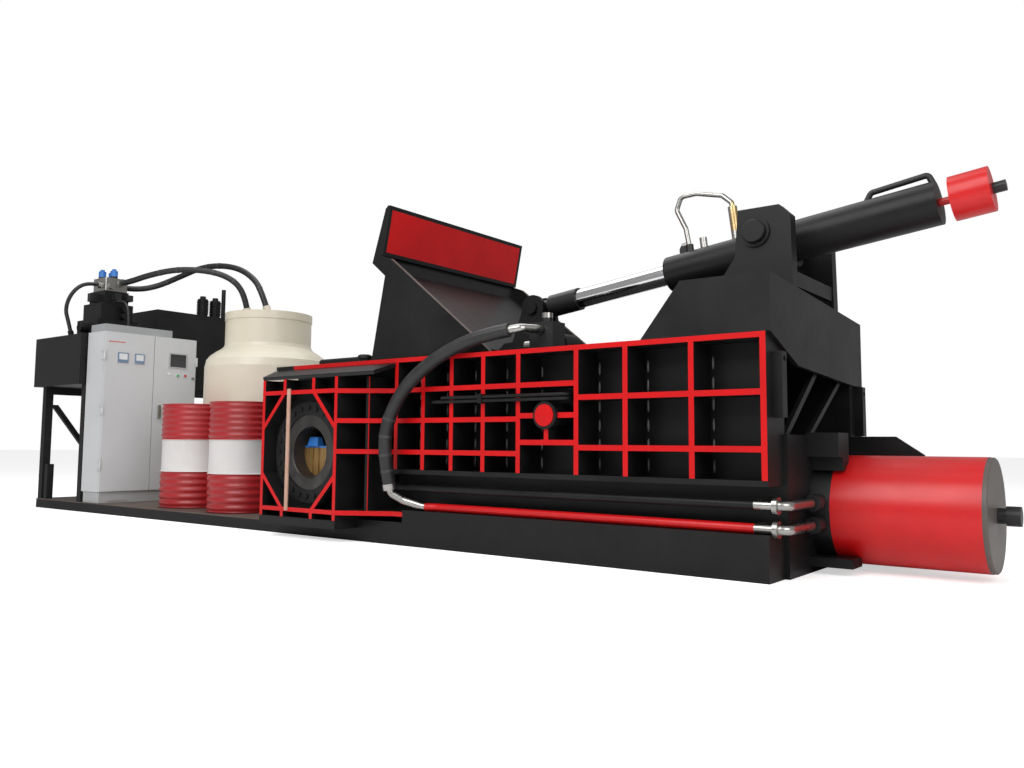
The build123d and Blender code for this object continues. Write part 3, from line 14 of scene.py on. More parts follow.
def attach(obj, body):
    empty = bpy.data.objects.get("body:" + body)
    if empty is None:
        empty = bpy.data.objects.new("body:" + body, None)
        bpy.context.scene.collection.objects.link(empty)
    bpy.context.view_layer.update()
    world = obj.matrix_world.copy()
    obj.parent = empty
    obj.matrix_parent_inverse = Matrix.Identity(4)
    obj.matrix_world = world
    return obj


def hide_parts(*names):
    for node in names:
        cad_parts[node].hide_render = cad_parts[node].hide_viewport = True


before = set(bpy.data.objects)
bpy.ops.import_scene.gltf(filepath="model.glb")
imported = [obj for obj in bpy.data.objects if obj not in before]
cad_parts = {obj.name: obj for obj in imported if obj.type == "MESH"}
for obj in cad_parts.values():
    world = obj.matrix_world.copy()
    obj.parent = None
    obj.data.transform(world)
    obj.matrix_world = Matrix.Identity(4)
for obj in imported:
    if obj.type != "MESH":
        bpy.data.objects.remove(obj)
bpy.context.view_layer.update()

LOG = logging.getLogger("baler")

Point = tuple[float, float, float]
Colour = tuple[float, float, float]
Span = tuple[float, float]
Source = Union[bpy.types.NodeSocket, Colour, float]

MAIN_BODY = "baler"
IMAGE_WIDTH = 1024.0
IMAGE_HEIGHT = 768.0

X_WAY: Point = (1.0, 0.0, 0.0)
Y_WAY: Point = (0.0, 1.0, 0.0)
Z_WAY: Point = (0.0, 0.0, 1.0)


class Stiffness(Enum):
    """How easily a hose bends."""

    MEDIUM = "medium"
    STIFF = "stiff"


class Blend(Enum):
    """What a Mix node blends: its data type, its two input sockets and its output socket."""

    COLOUR = ("RGBA", (6, 7), 2)
    NUMBER = ("FLOAT", (2, 3), 0)


@dataclass(frozen=True)
class Finish:
    """One surface finish: two colours that mottle, a span of roughness, and a fine bump."""

    name: str
    base: Colour
    shade: Colour
    rough: Span = (0.35, 0.5)
    metallic: float = 0.0
    mottle: float = 3.0
    grain: float = 90.0
    bump: float = 0.05
    coat: float = 0.0
    stretch: Point = (1.0, 1.0, 1.0)
    specular: float = 0.5


@dataclass(frozen=True)
class Half:
    """The side of a plane where the place along a direction is under a limit."""

    direction: Point
    limit: float


@dataclass(frozen=True)
class Zone:
    """A part of a surface with another finish, cut out by planes and a round limit."""

    finish: Finish
    halves: tuple[Half, ...] = ()
    centre: Point | None = None
    radius: float = 0.0
    axis: Point = (0.0, 1.0, 0.0)


def over(direction: Point, limit: float) -> Half:
    """Keep the places past a limit along a direction."""
    return Half(tuple(-value for value in direction), -limit)


def under(direction: Point, limit: float) -> Half:
    """Keep the places short of a limit along a direction."""
    return Half(direction, limit)


def between(axis: int, low: float, high: float) -> tuple[Half, Half]:
    """Keep the places between two values on a main axis."""
    way = tuple(1.0 if index == axis else 0.0 for index in range(3))
    return over(way, low), under(way, high)


def box_zone(finish: Finish, x: Span, y: Span, z: Span) -> Zone:
    """Give a finish to the inside of a box stated by its ranges."""
    return Zone(finish, between(0, *x) + between(1, *y) + between(2, *z))


BLACK = Finish(
    "black_enamel", (0.007, 0.007, 0.0075), (0.0125, 0.0125, 0.013),
    rough=(0.33, 0.5), mottle=2.6, grain=60.0, bump=0.1, specular=0.26,
)
BLACK_DULL = Finish(
    "black_primer", (0.01, 0.01, 0.0105), (0.018, 0.0175, 0.0175),
    rough=(0.5, 0.68), mottle=3.5, grain=45.0, bump=0.14, specular=0.26,
)
CAP_GREY = Finish(
    "cap_grey", (0.09, 0.078, 0.072), (0.13, 0.11, 0.1),
    rough=(0.4, 0.55), mottle=6.0, grain=80.0, bump=0.1,
)
CAP_BLACK = Finish("cap_black", (0.012, 0.012, 0.013), (0.02, 0.02, 0.021), mottle=9.0)
RED = Finish(
    "red_enamel", (0.66, 0.006, 0.008), (0.56, 0.004, 0.006),
    rough=(0.28, 0.4), mottle=4.0, grain=70.0, coat=0.05,
)
EDGE_GREY = Finish(
    "cut_edge", (0.095, 0.078, 0.07), (0.15, 0.12, 0.11),
    rough=(0.45, 0.6), metallic=0.3, mottle=9.0, grain=80.0, bump=0.12,
)
DECK = Finish(
    "deck_plate", (0.085, 0.062, 0.052), (0.13, 0.1, 0.085),
    rough=(0.55, 0.75), mottle=2.2, grain=40.0, bump=0.2,
)
CABINET = Finish(
    "cabinet_grey", (0.58, 0.59, 0.6), (0.63, 0.64, 0.65),
    rough=(0.42, 0.5), mottle=1.5, grain=160.0,
)
CROWN = Finish(
    "crown_grey", (0.33, 0.34, 0.35), (0.38, 0.39, 0.4),
    rough=(0.35, 0.45), mottle=2.0, bump=0.03,
)
PLINTH = Finish(
    "plinth_grey", (0.42, 0.43, 0.43), (0.47, 0.48, 0.48),
    rough=(0.45, 0.55), mottle=2.0, grain=120.0,
)
CREAM = Finish(
    "cream_shell", (0.72, 0.66, 0.52), (0.77, 0.72, 0.6),
    rough=(0.3, 0.42), mottle=1.8, grain=50.0, coat=0.2,
)
DRUM = Finish(
    "drum_red", (0.35, 0.012, 0.016), (0.42, 0.016, 0.02),
    rough=(0.3, 0.42), grain=60.0, bump=0.06, coat=0.1,
)
DRUM_WHITE = Finish(
    "drum_white", (0.76, 0.74, 0.73), (0.7, 0.68, 0.67),
    rough=(0.32, 0.45), grain=60.0, coat=0.1,
)
STEEL = Finish(
    "bright_steel", (0.5, 0.49, 0.47), (0.38, 0.37, 0.35),
    rough=(0.22, 0.36), metallic=1.0, mottle=7.0, grain=120.0, bump=0.06,
)
DARK_STEEL = Finish(
    "dark_steel", (0.055, 0.05, 0.047), (0.1, 0.09, 0.082),
    rough=(0.4, 0.58), metallic=0.7, mottle=6.0, grain=70.0, bump=0.14,
)
BORE_STEEL = Finish(
    "turned_steel", (0.11, 0.105, 0.1), (0.065, 0.062, 0.06),
    rough=(0.3, 0.46), metallic=0.85, mottle=8.0, bump=0.08,
)
CHROME = Finish(
    "chromed_rod", (0.75, 0.75, 0.76), (0.68, 0.68, 0.7),
    rough=(0.08, 0.14), metallic=1.0, mottle=4.0, grain=160.0, bump=0.01,
)
BRASS = Finish(
    "brass_nut", (0.55, 0.4, 0.2), (0.42, 0.3, 0.15),
    rough=(0.25, 0.4), metallic=1.0, mottle=8.0, grain=120.0,
)
GUIDE = Finish(
    "guide_bronze", (0.42, 0.26, 0.09), (0.2, 0.11, 0.035),
    rough=(0.3, 0.5), metallic=0.35, mottle=5.0, grain=60.0, bump=0.12, stretch=(26.0, 1.0, 1.6),
)
STRIP = Finish(
    "strip_tan", (0.5, 0.29, 0.21), (0.58, 0.38, 0.29),
    rough=(0.5, 0.62), mottle=6.0, bump=0.1,
)
BLUE = Finish(
    "blue_cap", (0.03, 0.16, 0.52), (0.045, 0.22, 0.62),
    rough=(0.3, 0.42), mottle=8.0, bump=0.04,
)
RUBBER = Finish(
    "hose_rubber", (0.014, 0.014, 0.015), (0.022, 0.022, 0.023),
    rough=(0.36, 0.52), mottle=14.0, grain=160.0, bump=0.1,
)
BAND = Finish(
    "hose_band", (0.03, 0.03, 0.031), (0.06, 0.06, 0.06),
    rough=(0.4, 0.55), mottle=40.0, grain=160.0, bump=0.08,
)
GREEN = Finish(
    "button_green", (0.03, 0.42, 0.09), (0.04, 0.5, 0.12),
    rough=(0.25, 0.35), mottle=9.0, bump=0.02,
)
BUTTON_RED = Finish(
    "button_red", (0.62, 0.02, 0.02), (0.7, 0.03, 0.03),
    rough=(0.25, 0.35), mottle=9.0, bump=0.02,
)
SCREEN = Finish(
    "screen_glass", (0.035, 0.04, 0.042), (0.05, 0.055, 0.058),
    rough=(0.1, 0.16), mottle=2.0, grain=40.0, bump=0.0, coat=0.5,
)
DIAL = Finish("dial_white", (0.72, 0.74, 0.76), (0.78, 0.8, 0.82), rough=(0.3, 0.4), bump=0.0)
FRAME_BLUE = Finish(
    "meter_frame", (0.16, 0.24, 0.36), (0.2, 0.28, 0.4),
    rough=(0.3, 0.42), mottle=5.0, bump=0.02,
)
LABEL_RED = Finish(
    "label_red", (0.6, 0.05, 0.045), (0.66, 0.07, 0.06),
    rough=(0.4, 0.5), mottle=5.0, bump=0.02,
)
WELD = Finish(
    "weld_bead", (0.16, 0.16, 0.155), (0.3, 0.29, 0.28),
    rough=(0.35, 0.55), metallic=0.3, mottle=120.0, grain=260.0, bump=0.3,
)


class PaintShop:
    """Builds one node material for each finish and set of zones."""

    coat_roughness = 0.2
    bump_distance = 0.004
    mottle_detail = 7.0
    mottle_roughness = 0.62
    colour_span: Span = (0.34, 0.66)
    rough_span: Span = (0.3, 0.7)
    grain_detail = 3.0

    def __init__(self) -> None:
        """Start with no materials."""
        self._made: dict[tuple[str, tuple[Zone, ...]], bpy.types.Material] = {}

    def material(self, finish: Finish, zones: Sequence[Zone] = ()) -> bpy.types.Material:
        """Give the material of a finish, made once.

        Args:
            finish: The main finish.
            zones: Other finishes laid over parts of the surface, later ones on top.

        Returns:
            The material.
        """
        key = (finish.name, tuple(zones))
        if key not in self._made:
            self._made[key] = self._build(finish, tuple(zones))
        return self._made[key]

    def _build(self, finish: Finish, zones: tuple[Zone, ...]) -> bpy.types.Material:
        """Wire up the nodes of one material.

        Args:
            finish: The main finish.
            zones: Other finishes laid over parts of the surface.

        Returns:
            The new material.
        """
        label = finish.name if not zones else f"{finish.name}_{len(self._made)}"
        material = bpy.data.materials.new(label)
        material.use_nodes = True
        tree = material.node_tree
        tree.nodes.clear()
        output = tree.nodes.new("ShaderNodeOutputMaterial")
        shader = tree.nodes.new("ShaderNodeBsdfPrincipled")
        tree.links.new(shader.outputs["BSDF"], output.inputs["Surface"])
        place = tree.nodes.new("ShaderNodeTexCoord").outputs["Object"]
        colour, rough, bump_height = self._layer(tree, place, finish)
        shader.inputs["Metallic"].default_value = finish.metallic
        shader.inputs["Coat Weight"].default_value = finish.coat
        shader.inputs["Coat Roughness"].default_value = self.coat_roughness
        shader.inputs["Specular IOR Level"].default_value = finish.specular
        metal = None
        for zone in zones:
            mask = self._mask(tree, place, zone)
            over_colour, over_rough, _ = self._layer(tree, place, zone.finish)
            colour = self._mix(tree, Blend.COLOUR, mask, colour, over_colour)
            rough = self._mix(tree, Blend.NUMBER, mask, rough, over_rough)
            if zone.finish.metallic != finish.metallic or metal is not None:
                below = finish.metallic if metal is None else metal
                metal = self._mix(tree, Blend.NUMBER, mask, below, zone.finish.metallic)
        tree.links.new(colour, shader.inputs["Base Color"])
        tree.links.new(rough, shader.inputs["Roughness"])
        if metal is not None:
            tree.links.new(metal, shader.inputs["Metallic"])
        bump = tree.nodes.new("ShaderNodeBump")
        bump.inputs["Strength"].default_value = finish.bump
        bump.inputs["Distance"].default_value = self.bump_distance
        tree.links.new(bump_height, bump.inputs["Height"])
        tree.links.new(bump.outputs["Normal"], shader.inputs["Normal"])
        return material

    def _layer(
        self, tree: bpy.types.NodeTree, place: bpy.types.NodeSocket, finish: Finish
    ) -> tuple[bpy.types.NodeSocket, bpy.types.NodeSocket, bpy.types.NodeSocket]:
        """Make the sockets of one finish.

        Args:
            tree: The material's nodes.
            place: The socket with the place on the object.
            finish: The finish.

        Returns:
            The colour, the roughness and the bump height.
        """
        scaled = tree.nodes.new("ShaderNodeMapping")
        scaled.inputs["Scale"].default_value = finish.stretch
        tree.links.new(place, scaled.inputs["Vector"])
        mottle = tree.nodes.new("ShaderNodeTexNoise")
        mottle.inputs["Scale"].default_value = finish.mottle
        mottle.inputs["Detail"].default_value = self.mottle_detail
        mottle.inputs["Roughness"].default_value = self.mottle_roughness
        tree.links.new(scaled.outputs["Vector"], mottle.inputs["Vector"])
        spread = self._spread(tree, mottle.outputs["Fac"], self.colour_span)
        colour = self._mix(tree, Blend.COLOUR, spread, finish.base, finish.shade)
        grain = tree.nodes.new("ShaderNodeTexNoise")
        grain.inputs["Scale"].default_value = finish.grain
        grain.inputs["Detail"].default_value = self.grain_detail
        tree.links.new(place, grain.inputs["Vector"])
        rough = self._spread(tree, mottle.outputs["Fac"], self.rough_span, finish.rough)
        return colour, rough, grain.outputs["Fac"]

    @staticmethod
    def _spread(
        tree: bpy.types.NodeTree, value: bpy.types.NodeSocket, given: Span, wanted: Span = (0.0, 1.0)
    ) -> bpy.types.NodeSocket:
        """Stretch a value from one span onto another.

        Args:
            tree: The material's nodes.
            value: The socket to stretch.
            given: The span that the value is read over.
            wanted: The span that it is stretched onto.

        Returns:
            The stretched value.
        """
        node = tree.nodes.new("ShaderNodeMapRange")
        names = ("From Min", "From Max", "To Min", "To Max")
        for name, number in zip(names, (*given, *wanted)):
            node.inputs[name].default_value = number
        tree.links.new(value, node.inputs["Value"])
        return node.outputs["Result"]

    def _mask(
        self, tree: bpy.types.NodeTree, place: bpy.types.NodeSocket, zone: Zone
    ) -> bpy.types.NodeSocket:
        """Make a socket that is 1 inside a zone and 0 outside.

        Args:
            tree: The material's nodes.
            place: The socket with the place on the object.
            zone: The zone.

        Returns:
            The mask.
        """
        parts = []
        for half in zone.halves:
            dot = tree.nodes.new("ShaderNodeVectorMath")
            dot.operation = "DOT_PRODUCT"
            dot.inputs[1].default_value = half.direction
            tree.links.new(place, dot.inputs[0])
            parts.append(self._math(tree, "LESS_THAN", dot.outputs["Value"], half.limit))
        if zone.centre is not None:
            flat = tuple(1.0 - abs(value) for value in zone.axis)
            spot = tree.nodes.new("ShaderNodeVectorMath")
            spot.operation = "MULTIPLY"
            spot.inputs[1].default_value = flat
            tree.links.new(place, spot.inputs[0])
            away = tree.nodes.new("ShaderNodeVectorMath")
            away.operation = "DISTANCE"
            away.inputs[1].default_value = tuple(a * b for a, b in zip(zone.centre, flat))
            tree.links.new(spot.outputs["Vector"], away.inputs[0])
            parts.append(self._math(tree, "LESS_THAN", away.outputs["Value"], zone.radius))
        mask = parts[0]
        for part in parts[1:]:
            mask = self._math(tree, "MULTIPLY", mask, part)
        return mask

    @staticmethod
    def _feed(tree: bpy.types.NodeTree, value: Source, target: bpy.types.NodeSocket) -> None:
        """Link a socket to an input, or write a colour or number into it.

        Args:
            tree: The material's nodes.
            value: A socket, a colour or a number.
            target: The input.

        Returns:
            None.
        """
        if isinstance(value, bpy.types.NodeSocket):
            tree.links.new(value, target)
        elif isinstance(value, tuple):
            target.default_value = (*value, 1.0)
        else:
            target.default_value = value

    def _math(
        self, tree: bpy.types.NodeTree, operation: str, first: Source, second: Source
    ) -> bpy.types.NodeSocket:
        """Add a math node.

        Args:
            tree: The material's nodes.
            operation: Blender's name of the operation.
            first: The first value.
            second: The second value.

        Returns:
            The result.
        """
        node = tree.nodes.new("ShaderNodeMath")
        node.operation = operation
        for index, value in enumerate((first, second)):
            self._feed(tree, value, node.inputs[index])
        return node.outputs[0]

    def _mix(
        self, tree: bpy.types.NodeTree, kind: Blend, mask: bpy.types.NodeSocket, first: Source,
        second: Source,
    ) -> bpy.types.NodeSocket:
        """Mix two colours or numbers.

        Args:
            tree: The material's nodes.
            kind: What is mixed.
            mask: The share of the second value.
            first: The value where the mask is 0.
            second: The value where the mask is 1.

        Returns:
            The mixed value.
        """
        node = tree.nodes.new("ShaderNodeMix")
        node.data_type, sockets, result = kind.value
        tree.links.new(mask, node.inputs[0])
        for index, value in zip(sockets, (first, second)):
            self._feed(tree, value, node.inputs[index])
        return node.outputs[result]


PAINT = PaintShop()


@dataclass
class Workshop:
    """Turns bmeshes into finished pieces that ride on a body."""

    count: int = 0

    def piece(
        self, name: str, shape: bmesh.types.BMesh, body: str, finish: Finish,
        zones: Sequence[Zone] = (), smooth: bool = False,
    ) -> bpy.types.Object:
        """Finish one piece.

        Args:
            name: The piece's name.
            shape: Its mesh in the frame's metres.
            body: The body that it rides on.
            finish: Its finish.
            zones: Other finishes over parts of it.
            smooth: Whether its faces are shaded smooth.

        Returns:
            The new object.
        """
        bmesh.ops.recalc_face_normals(shape, faces=shape.faces[:])
        mesh = bpy.data.meshes.new(name)
        shape.to_mesh(mesh)
        shape.free()
        for polygon in mesh.polygons:
            polygon.use_smooth = smooth
        mesh.materials.append(PAINT.material(finish, zones))
        thing = bpy.data.objects.new(name, mesh)
        bpy.context.scene.collection.objects.link(thing)
        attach(thing, body)
        self.count += 1
        LOG.info("%s rides on %s", name, body)
        return thing


SHOP = Workshop()


def turned(direction: Point, place: Point) -> Matrix:
    """Give the matrix that stands +Z along a direction at a place."""
    spin = Vector(direction).normalized().to_track_quat("Z", "Y").to_matrix().to_4x4()
    return Matrix.Translation(Vector(place)) @ spin


def add_round(
    shape: bmesh.types.BMesh, place: Point, direction: Point, radius: float, length: float, sides: int
) -> None:
    """Add a capped round bar.

    Args:
        shape: The mesh to add to.
        place: Centre of the end that the bar starts from.
        direction: The way that it runs.
        radius: Its radius.
        length: Its length.
        sides: Number of flats round it.

    Returns:
        None.
    """
    matrix = turned(direction, place) @ Matrix.Translation((0.0, 0.0, length / 2))
    bmesh.ops.create_cone(
        shape, cap_ends=True, segments=sides, radius1=radius, radius2=radius, depth=length, matrix=matrix
    )


@dataclass
class Hose:
    """One flexible hose on a smooth route whose two ends go into the machine."""

    name: str
    route: Sequence[Point]
    radius: float
    node: str | None = None
    stiffness: Stiffness = Stiffness.STIFF
    bands: Sequence[float] = ()
    body: str = MAIN_BODY
    slot: str = "hose_rubber"
    band_lift: float = 0.0015
    band_length: float = 0.016
    band_sides: int = 28
    order: int = 3
    steps: int = 14
    round_steps: int = 7

    def _curve(self, bevel: float) -> bpy.types.Curve:
        """Make the route's spline.

        Args:
            bevel: Radius of the tube round it, or 0 for the bare line.

        Returns:
            The curve.
        """
        data = bpy.data.curves.new(self.name, "CURVE")
        data.dimensions = "3D"
        spline = data.splines.new("NURBS")
        spline.points.add(len(self.route) - 1)
        for target, point in zip(spline.points, self.route):
            target.co = (*point, 1.0)
        spline.order_u = self.order
        spline.use_endpoint_u = True
        data.resolution_u = self.steps
        data.bevel_depth = bevel
        data.bevel_resolution = self.round_steps
        data.use_fill_caps = bevel > 0.0
        return data

    def line(self) -> list[Vector]:
        """Read the points that the spline passes through.

        Returns:
            The points, from the exit to the far end.
        """
        probe = bpy.data.objects.new(self.name + "_probe", self._curve(0.0))
        bpy.context.scene.collection.objects.link(probe)
        mesh = bpy.data.meshes.new_from_object(probe)
        points = [vertex.co.copy() for vertex in mesh.vertices]
        bpy.data.objects.remove(probe)
        bpy.data.meshes.remove(mesh)
        return points

    def build(self) -> None:
        """Returns:
            None.
        """
        thing = bpy.data.objects.new(self.name, self._curve(self.radius))
        bpy.context.scene.collection.objects.link(thing)
        thing.data.materials.append(PAINT.material(RUBBER))
        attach(thing, self.body)
        if self.node is not None:
            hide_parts(self.node)
        points = self.line()
        length = sum((b - a).length for a, b in zip(points, points[1:]))
        extras = self._bands(points, length) if self.bands else []
        LOG.info("%s is %.3f m long", self.name, length)

    def _bands(self, points: list[Vector], length: float) -> list[bpy.types.Object]:
        """Wrap tape bands round the hose at shares of its length.

        Args:
            points: The points that the hose passes through.
            length: The hose's length.

        Returns:
            The one piece that holds all the bands.
        """
        shape = bmesh.new()
        for share in self.bands:
            left = share * length
            for a, b in zip(points, points[1:]):
                run = (b - a).length
                if left <= run:
                    way = (b - a).normalized()
                    start = a + way * left
                    add_round(
                        shape, tuple(start), tuple(way), self.radius + self.band_lift, self.band_length,
                        self.band_sides,
                    )
                    break
                left -= run
        return [SHOP.piece(self.name + "_bands", shape, self.body, BAND)]


@dataclass
class Dresser:
    """Gives every CAD node its finish."""

    looks: dict[str, tuple[Finish, tuple[Zone, ...]]] = field(default_factory=dict)

    def put(self, names: Sequence[str], finish: Finish, zones: Sequence[Zone] = ()) -> None:
        """Note the finish of some nodes."""
        for name in names:
            self.looks[name] = (finish, tuple(zones))

    def dress(self) -> None:
        """Assign the finishes to the nodes' material slots; what isn't noted is a hose.

        Returns:
            None.
        """
        for name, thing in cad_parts.items():
            finish, zones = self.looks.get(name, (RUBBER, ()))
            material = PAINT.material(finish, zones)
            for slot in thing.material_slots:
                slot.material = material
            LOG.info("%s is finished in %s", name, finish.name)


class SubAssembly:
    """A group of nodes and new pieces that has its own sizes."""

    def build(self) -> None:
        """Build the new pieces; a sub-assembly of nodes alone has none."""

    def plan(self, dresser: Dresser) -> None:
        """Choose the finishes of the nodes; a sub-assembly of hoses alone has none."""


@dataclass
class Drums(SubAssembly):
    """The pair of ribbed oil drums that stand on the deck."""

    places: tuple[tuple[str, float, float], ...] = (
        ("drum_left", -1.608, -0.384), ("drum_right", -0.839, -0.433),
    )
    foot: float = 0.087
    top: float = 0.967
    body_radius: float = 0.280
    rib_radius: float = 0.2895
    band: Span = (0.392, 0.662)
    rib_counts: tuple[int, int] = (5, 6)
    points_per_rib: int = 8
    rim: float = 0.012
    lid_depth: float = 0.016
    top_round: float = 0.003
    lid_round: float = 0.004
    bungs: tuple[Span, ...] = ((-0.19, 0.034), (0.2, 0.02))
    bung_depth: float = 0.018
    bung_height: float = 0.012
    bung_sides: int = 24
    spin_steps: int = 96
    weld_distance: float = 1e-5

    def _zones(self) -> list[Zone]:
        """Give the white band's zone."""
        return [Zone(DRUM_WHITE, (over(Z_WAY, self.band[0]), under(Z_WAY, self.band[1])))]

    def _wave(self, low: float, high: float, ribs: int) -> list[Span]:
        """Make the ribbed outline between two heights.

        Args:
            low: Height where the ribs start.
            high: Height where they end.
            ribs: Number of ribs.

        Returns:
            Radius and height of each point.
        """
        steps = ribs * self.points_per_rib
        rise = self.rib_radius - self.body_radius
        points = []
        for step in range(steps + 1):
            share = step / steps
            swell = 0.5 - 0.5 * math.cos(2 * math.pi * share * ribs)
            points.append((self.body_radius + rise * swell, low + (high - low) * share))
        return points

    def _outline(self) -> list[Span]:
        """Make the drum's whole outline from the foot's centre to the lid's centre.

        Returns:
            Radius and height of each point.
        """
        rim = self.rim
        inner = self.body_radius - rim
        outline = [(0.0, self.foot), (inner, self.foot), (self.rib_radius, self.foot + rim / 2)]
        outline += self._wave(self.foot + rim, self.band[0] - rim, self.rib_counts[0])
        outline += self._wave(self.band[0] - rim, self.band[0] + rim, 1)[1:]
        outline += self._wave(self.band[1] - rim, self.band[1] + rim, 1)
        outline += self._wave(self.band[1] + rim, self.top - rim, self.rib_counts[1])[1:]
        outline += [
            (self.rib_radius, self.top - rim / 2), (self.rib_radius - self.top_round, self.top),
            (inner, self.top), (inner - self.lid_round, self.top - self.lid_depth),
            (0.0, self.top - self.lid_depth),
        ]
        return outline

    def build(self) -> None:
        """Spin each drum, add its bungs and put it in its node's place.

        Returns:
            None.
        """
        for name, x, y in self.places:
            shape = bmesh.new()
            points = [shape.verts.new((x + radius, y, z)) for radius, z in self._outline()]
            edges = [shape.edges.new(pair) for pair in zip(points, points[1:])]
            bmesh.ops.spin(
                shape, geom=points + edges, cent=(x, y, 0.0), axis=Z_WAY, angle=2 * math.pi,
                steps=self.spin_steps, use_merge=True,
            )
            bmesh.ops.remove_doubles(shape, verts=shape.verts[:], dist=self.weld_distance)
            for offset, radius in self.bungs:
                start = (x + offset, y, self.top - self.bung_depth)
                add_round(shape, start, Z_WAY, radius, self.bung_height, self.bung_sides)
            thing = SHOP.piece(
                name + "_ribbed", shape, MAIN_BODY, DRUM, self._zones(), smooth=True
            )
            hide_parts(name)

    def plan(self, dresser: Dresser) -> None:
        """Give the hidden nodes the drums' finish."""
        dresser.put([name for name, _, _ in self.places], DRUM, self._zones())


@dataclass
class Chamber(SubAssembly):
    """The chamber's walls, liners and rear door, and the welds between the ribs and the walls."""

    edge_y: float = 0.7795
    ledge_top: float = 0.479
    bar_low: float = 1.163
    bar_red_from: float = 0.185
    door_edge_y: float = 0.667
    sight_centre: Point = (2.4, 0.0, 0.806)
    sight_radius: float = 0.0625
    sight_face: float = -0.797
    ribs: tuple[float, ...] = (1.221, 1.456, 1.692, 1.941, 2.202, 2.6, 2.908, 3.287)
    rib_thick: float = 0.03
    wall_y: float = 0.58
    weld_low: float = 0.5
    weld_high: float = 1.14
    weld_pitch: float = 0.107
    weld_half_length: float = 0.036
    weld_radius: float = 0.0065

    def build(self) -> None:
        """Lay a broken row of weld beads on both sides of each rib.

        Returns:
            None.
        """
        bead = Matrix.Diagonal((self.weld_radius, self.weld_radius, self.weld_half_length, 1.0))
        for side, name in ((-1.0, "front_welds"), (1.0, "rear_welds")):
            shape = bmesh.new()
            for rib in self.ribs:
                for x in (rib, rib + self.rib_thick):
                    z = self.weld_low + self.weld_half_length
                    while z < self.weld_high:
                        matrix = Matrix.Translation((x, side * self.wall_y, z)) @ bead
                        bmesh.ops.create_icosphere(shape, subdivisions=2, radius=1.0, matrix=matrix)
                        z += self.weld_pitch
            SHOP.piece(name, shape, MAIN_BODY, WELD, smooth=True)

    def plan(self, dresser: Dresser) -> None:
        """Paint the walls black with red edges on their ribs and shelves.

        Args:
            dresser: Where the finishes are noted.

        Returns:
            None.
        """
        front = under(Y_WAY, -self.edge_y)
        grid = (front, over(Z_WAY, self.ledge_top), under(Z_WAY, self.bar_low))
        bar = (front, over(Z_WAY, self.bar_low), over(X_WAY, self.bar_red_from))
        dresser.put(["front_wall"], BLACK, [Zone(RED, grid), Zone(RED, bar)])
        dresser.put(["rear_wall"], BLACK, [Zone(RED, (over(Y_WAY, self.edge_y),))])
        dresser.put(["rear_door"], BLACK, [Zone(RED, (over(Y_WAY, self.door_edge_y),))])
        disc = Zone(RED, (under(Y_WAY, self.sight_face),), self.sight_centre, self.sight_radius)
        dresser.put(["sight_port"], BLACK, [disc])
        dresser.put(["door_latch"], RED)
        dresser.put(["door_posts", "press_base", "top_stand", "press_box"], BLACK)
        dresser.put(["end_wall", "roof_plates"], BLACK_DULL)
        dresser.put(["chamber_liners"], DARK_STEEL)


@dataclass
class FeedPort(SubAssembly):
    """The round port in the front, its frame and wing, and the main hose that rises beside it."""

    front_edge_y: float = -0.9795
    frame_edge_x: float = 0.8845
    sill_top: float = 0.144
    wing_way: Point = (0.5276, -0.8495, 0.0)
    wing_corner: Span = (0.884, 0.98)
    wing_edge: float = 0.003
    wing_low: float = 0.17
    ring_face: float = -0.875
    hose_radius: float = 0.042
    hose_bands: tuple[float, ...] = (0.05, 0.12, 0.2, 0.28)
    hose_route: tuple[Point, ...] = (
        (1.240, -0.850, 0.390), (1.226, -0.876, 0.545), (1.230, -0.885, 0.705), (1.290, -0.885, 0.860),
        (1.420, -0.885, 1.015), (1.600, -0.862, 1.148), (1.800, -0.830, 1.243), (1.985, -0.795, 1.294),
        (2.120, -0.762, 1.312),
    )

    def build(self) -> None:
        """Lay the main hose."""
        Hose("main_hose_line", self.hose_route, self.hose_radius, "main_hose", bands=self.hose_bands).build()

    def plan(self, dresser: Dresser) -> None:
        """Paint the frame's front edges red, and finish the ring and what stands in it.

        Args:
            dresser: Where the finishes are noted.

        Returns:
            None.
        """
        wing_limit = self.wing_corner[0] * self.wing_way[0] - self.wing_corner[1] * self.wing_way[1]
        flat = (
            under(Y_WAY, self.front_edge_y), under(X_WAY, self.frame_edge_x), over(Z_WAY, self.sill_top),
        )
        wing = (
            over(self.wing_way, wing_limit - self.wing_edge), over(X_WAY, self.wing_corner[0]),
            over(Z_WAY, self.wing_low),
        )
        dresser.put(["port_frame"], BLACK, [Zone(RED, flat), Zone(RED, wing)])
        dresser.put(["port_roof", "limit_plunger"], BLACK)
        dresser.put(["port_bolt_ring"], BLACK_DULL)
        dresser.put(["port_ring"], BORE_STEEL, [Zone(DARK_STEEL, (over(Y_WAY, self.ring_face),))])
        dresser.put(["side_ram"], DARK_STEEL)
        dresser.put(["guide_sheet"], GUIDE)
        dresser.put(["blue_cap"], BLUE)
        dresser.put(["gauge_strip"], STRIP)


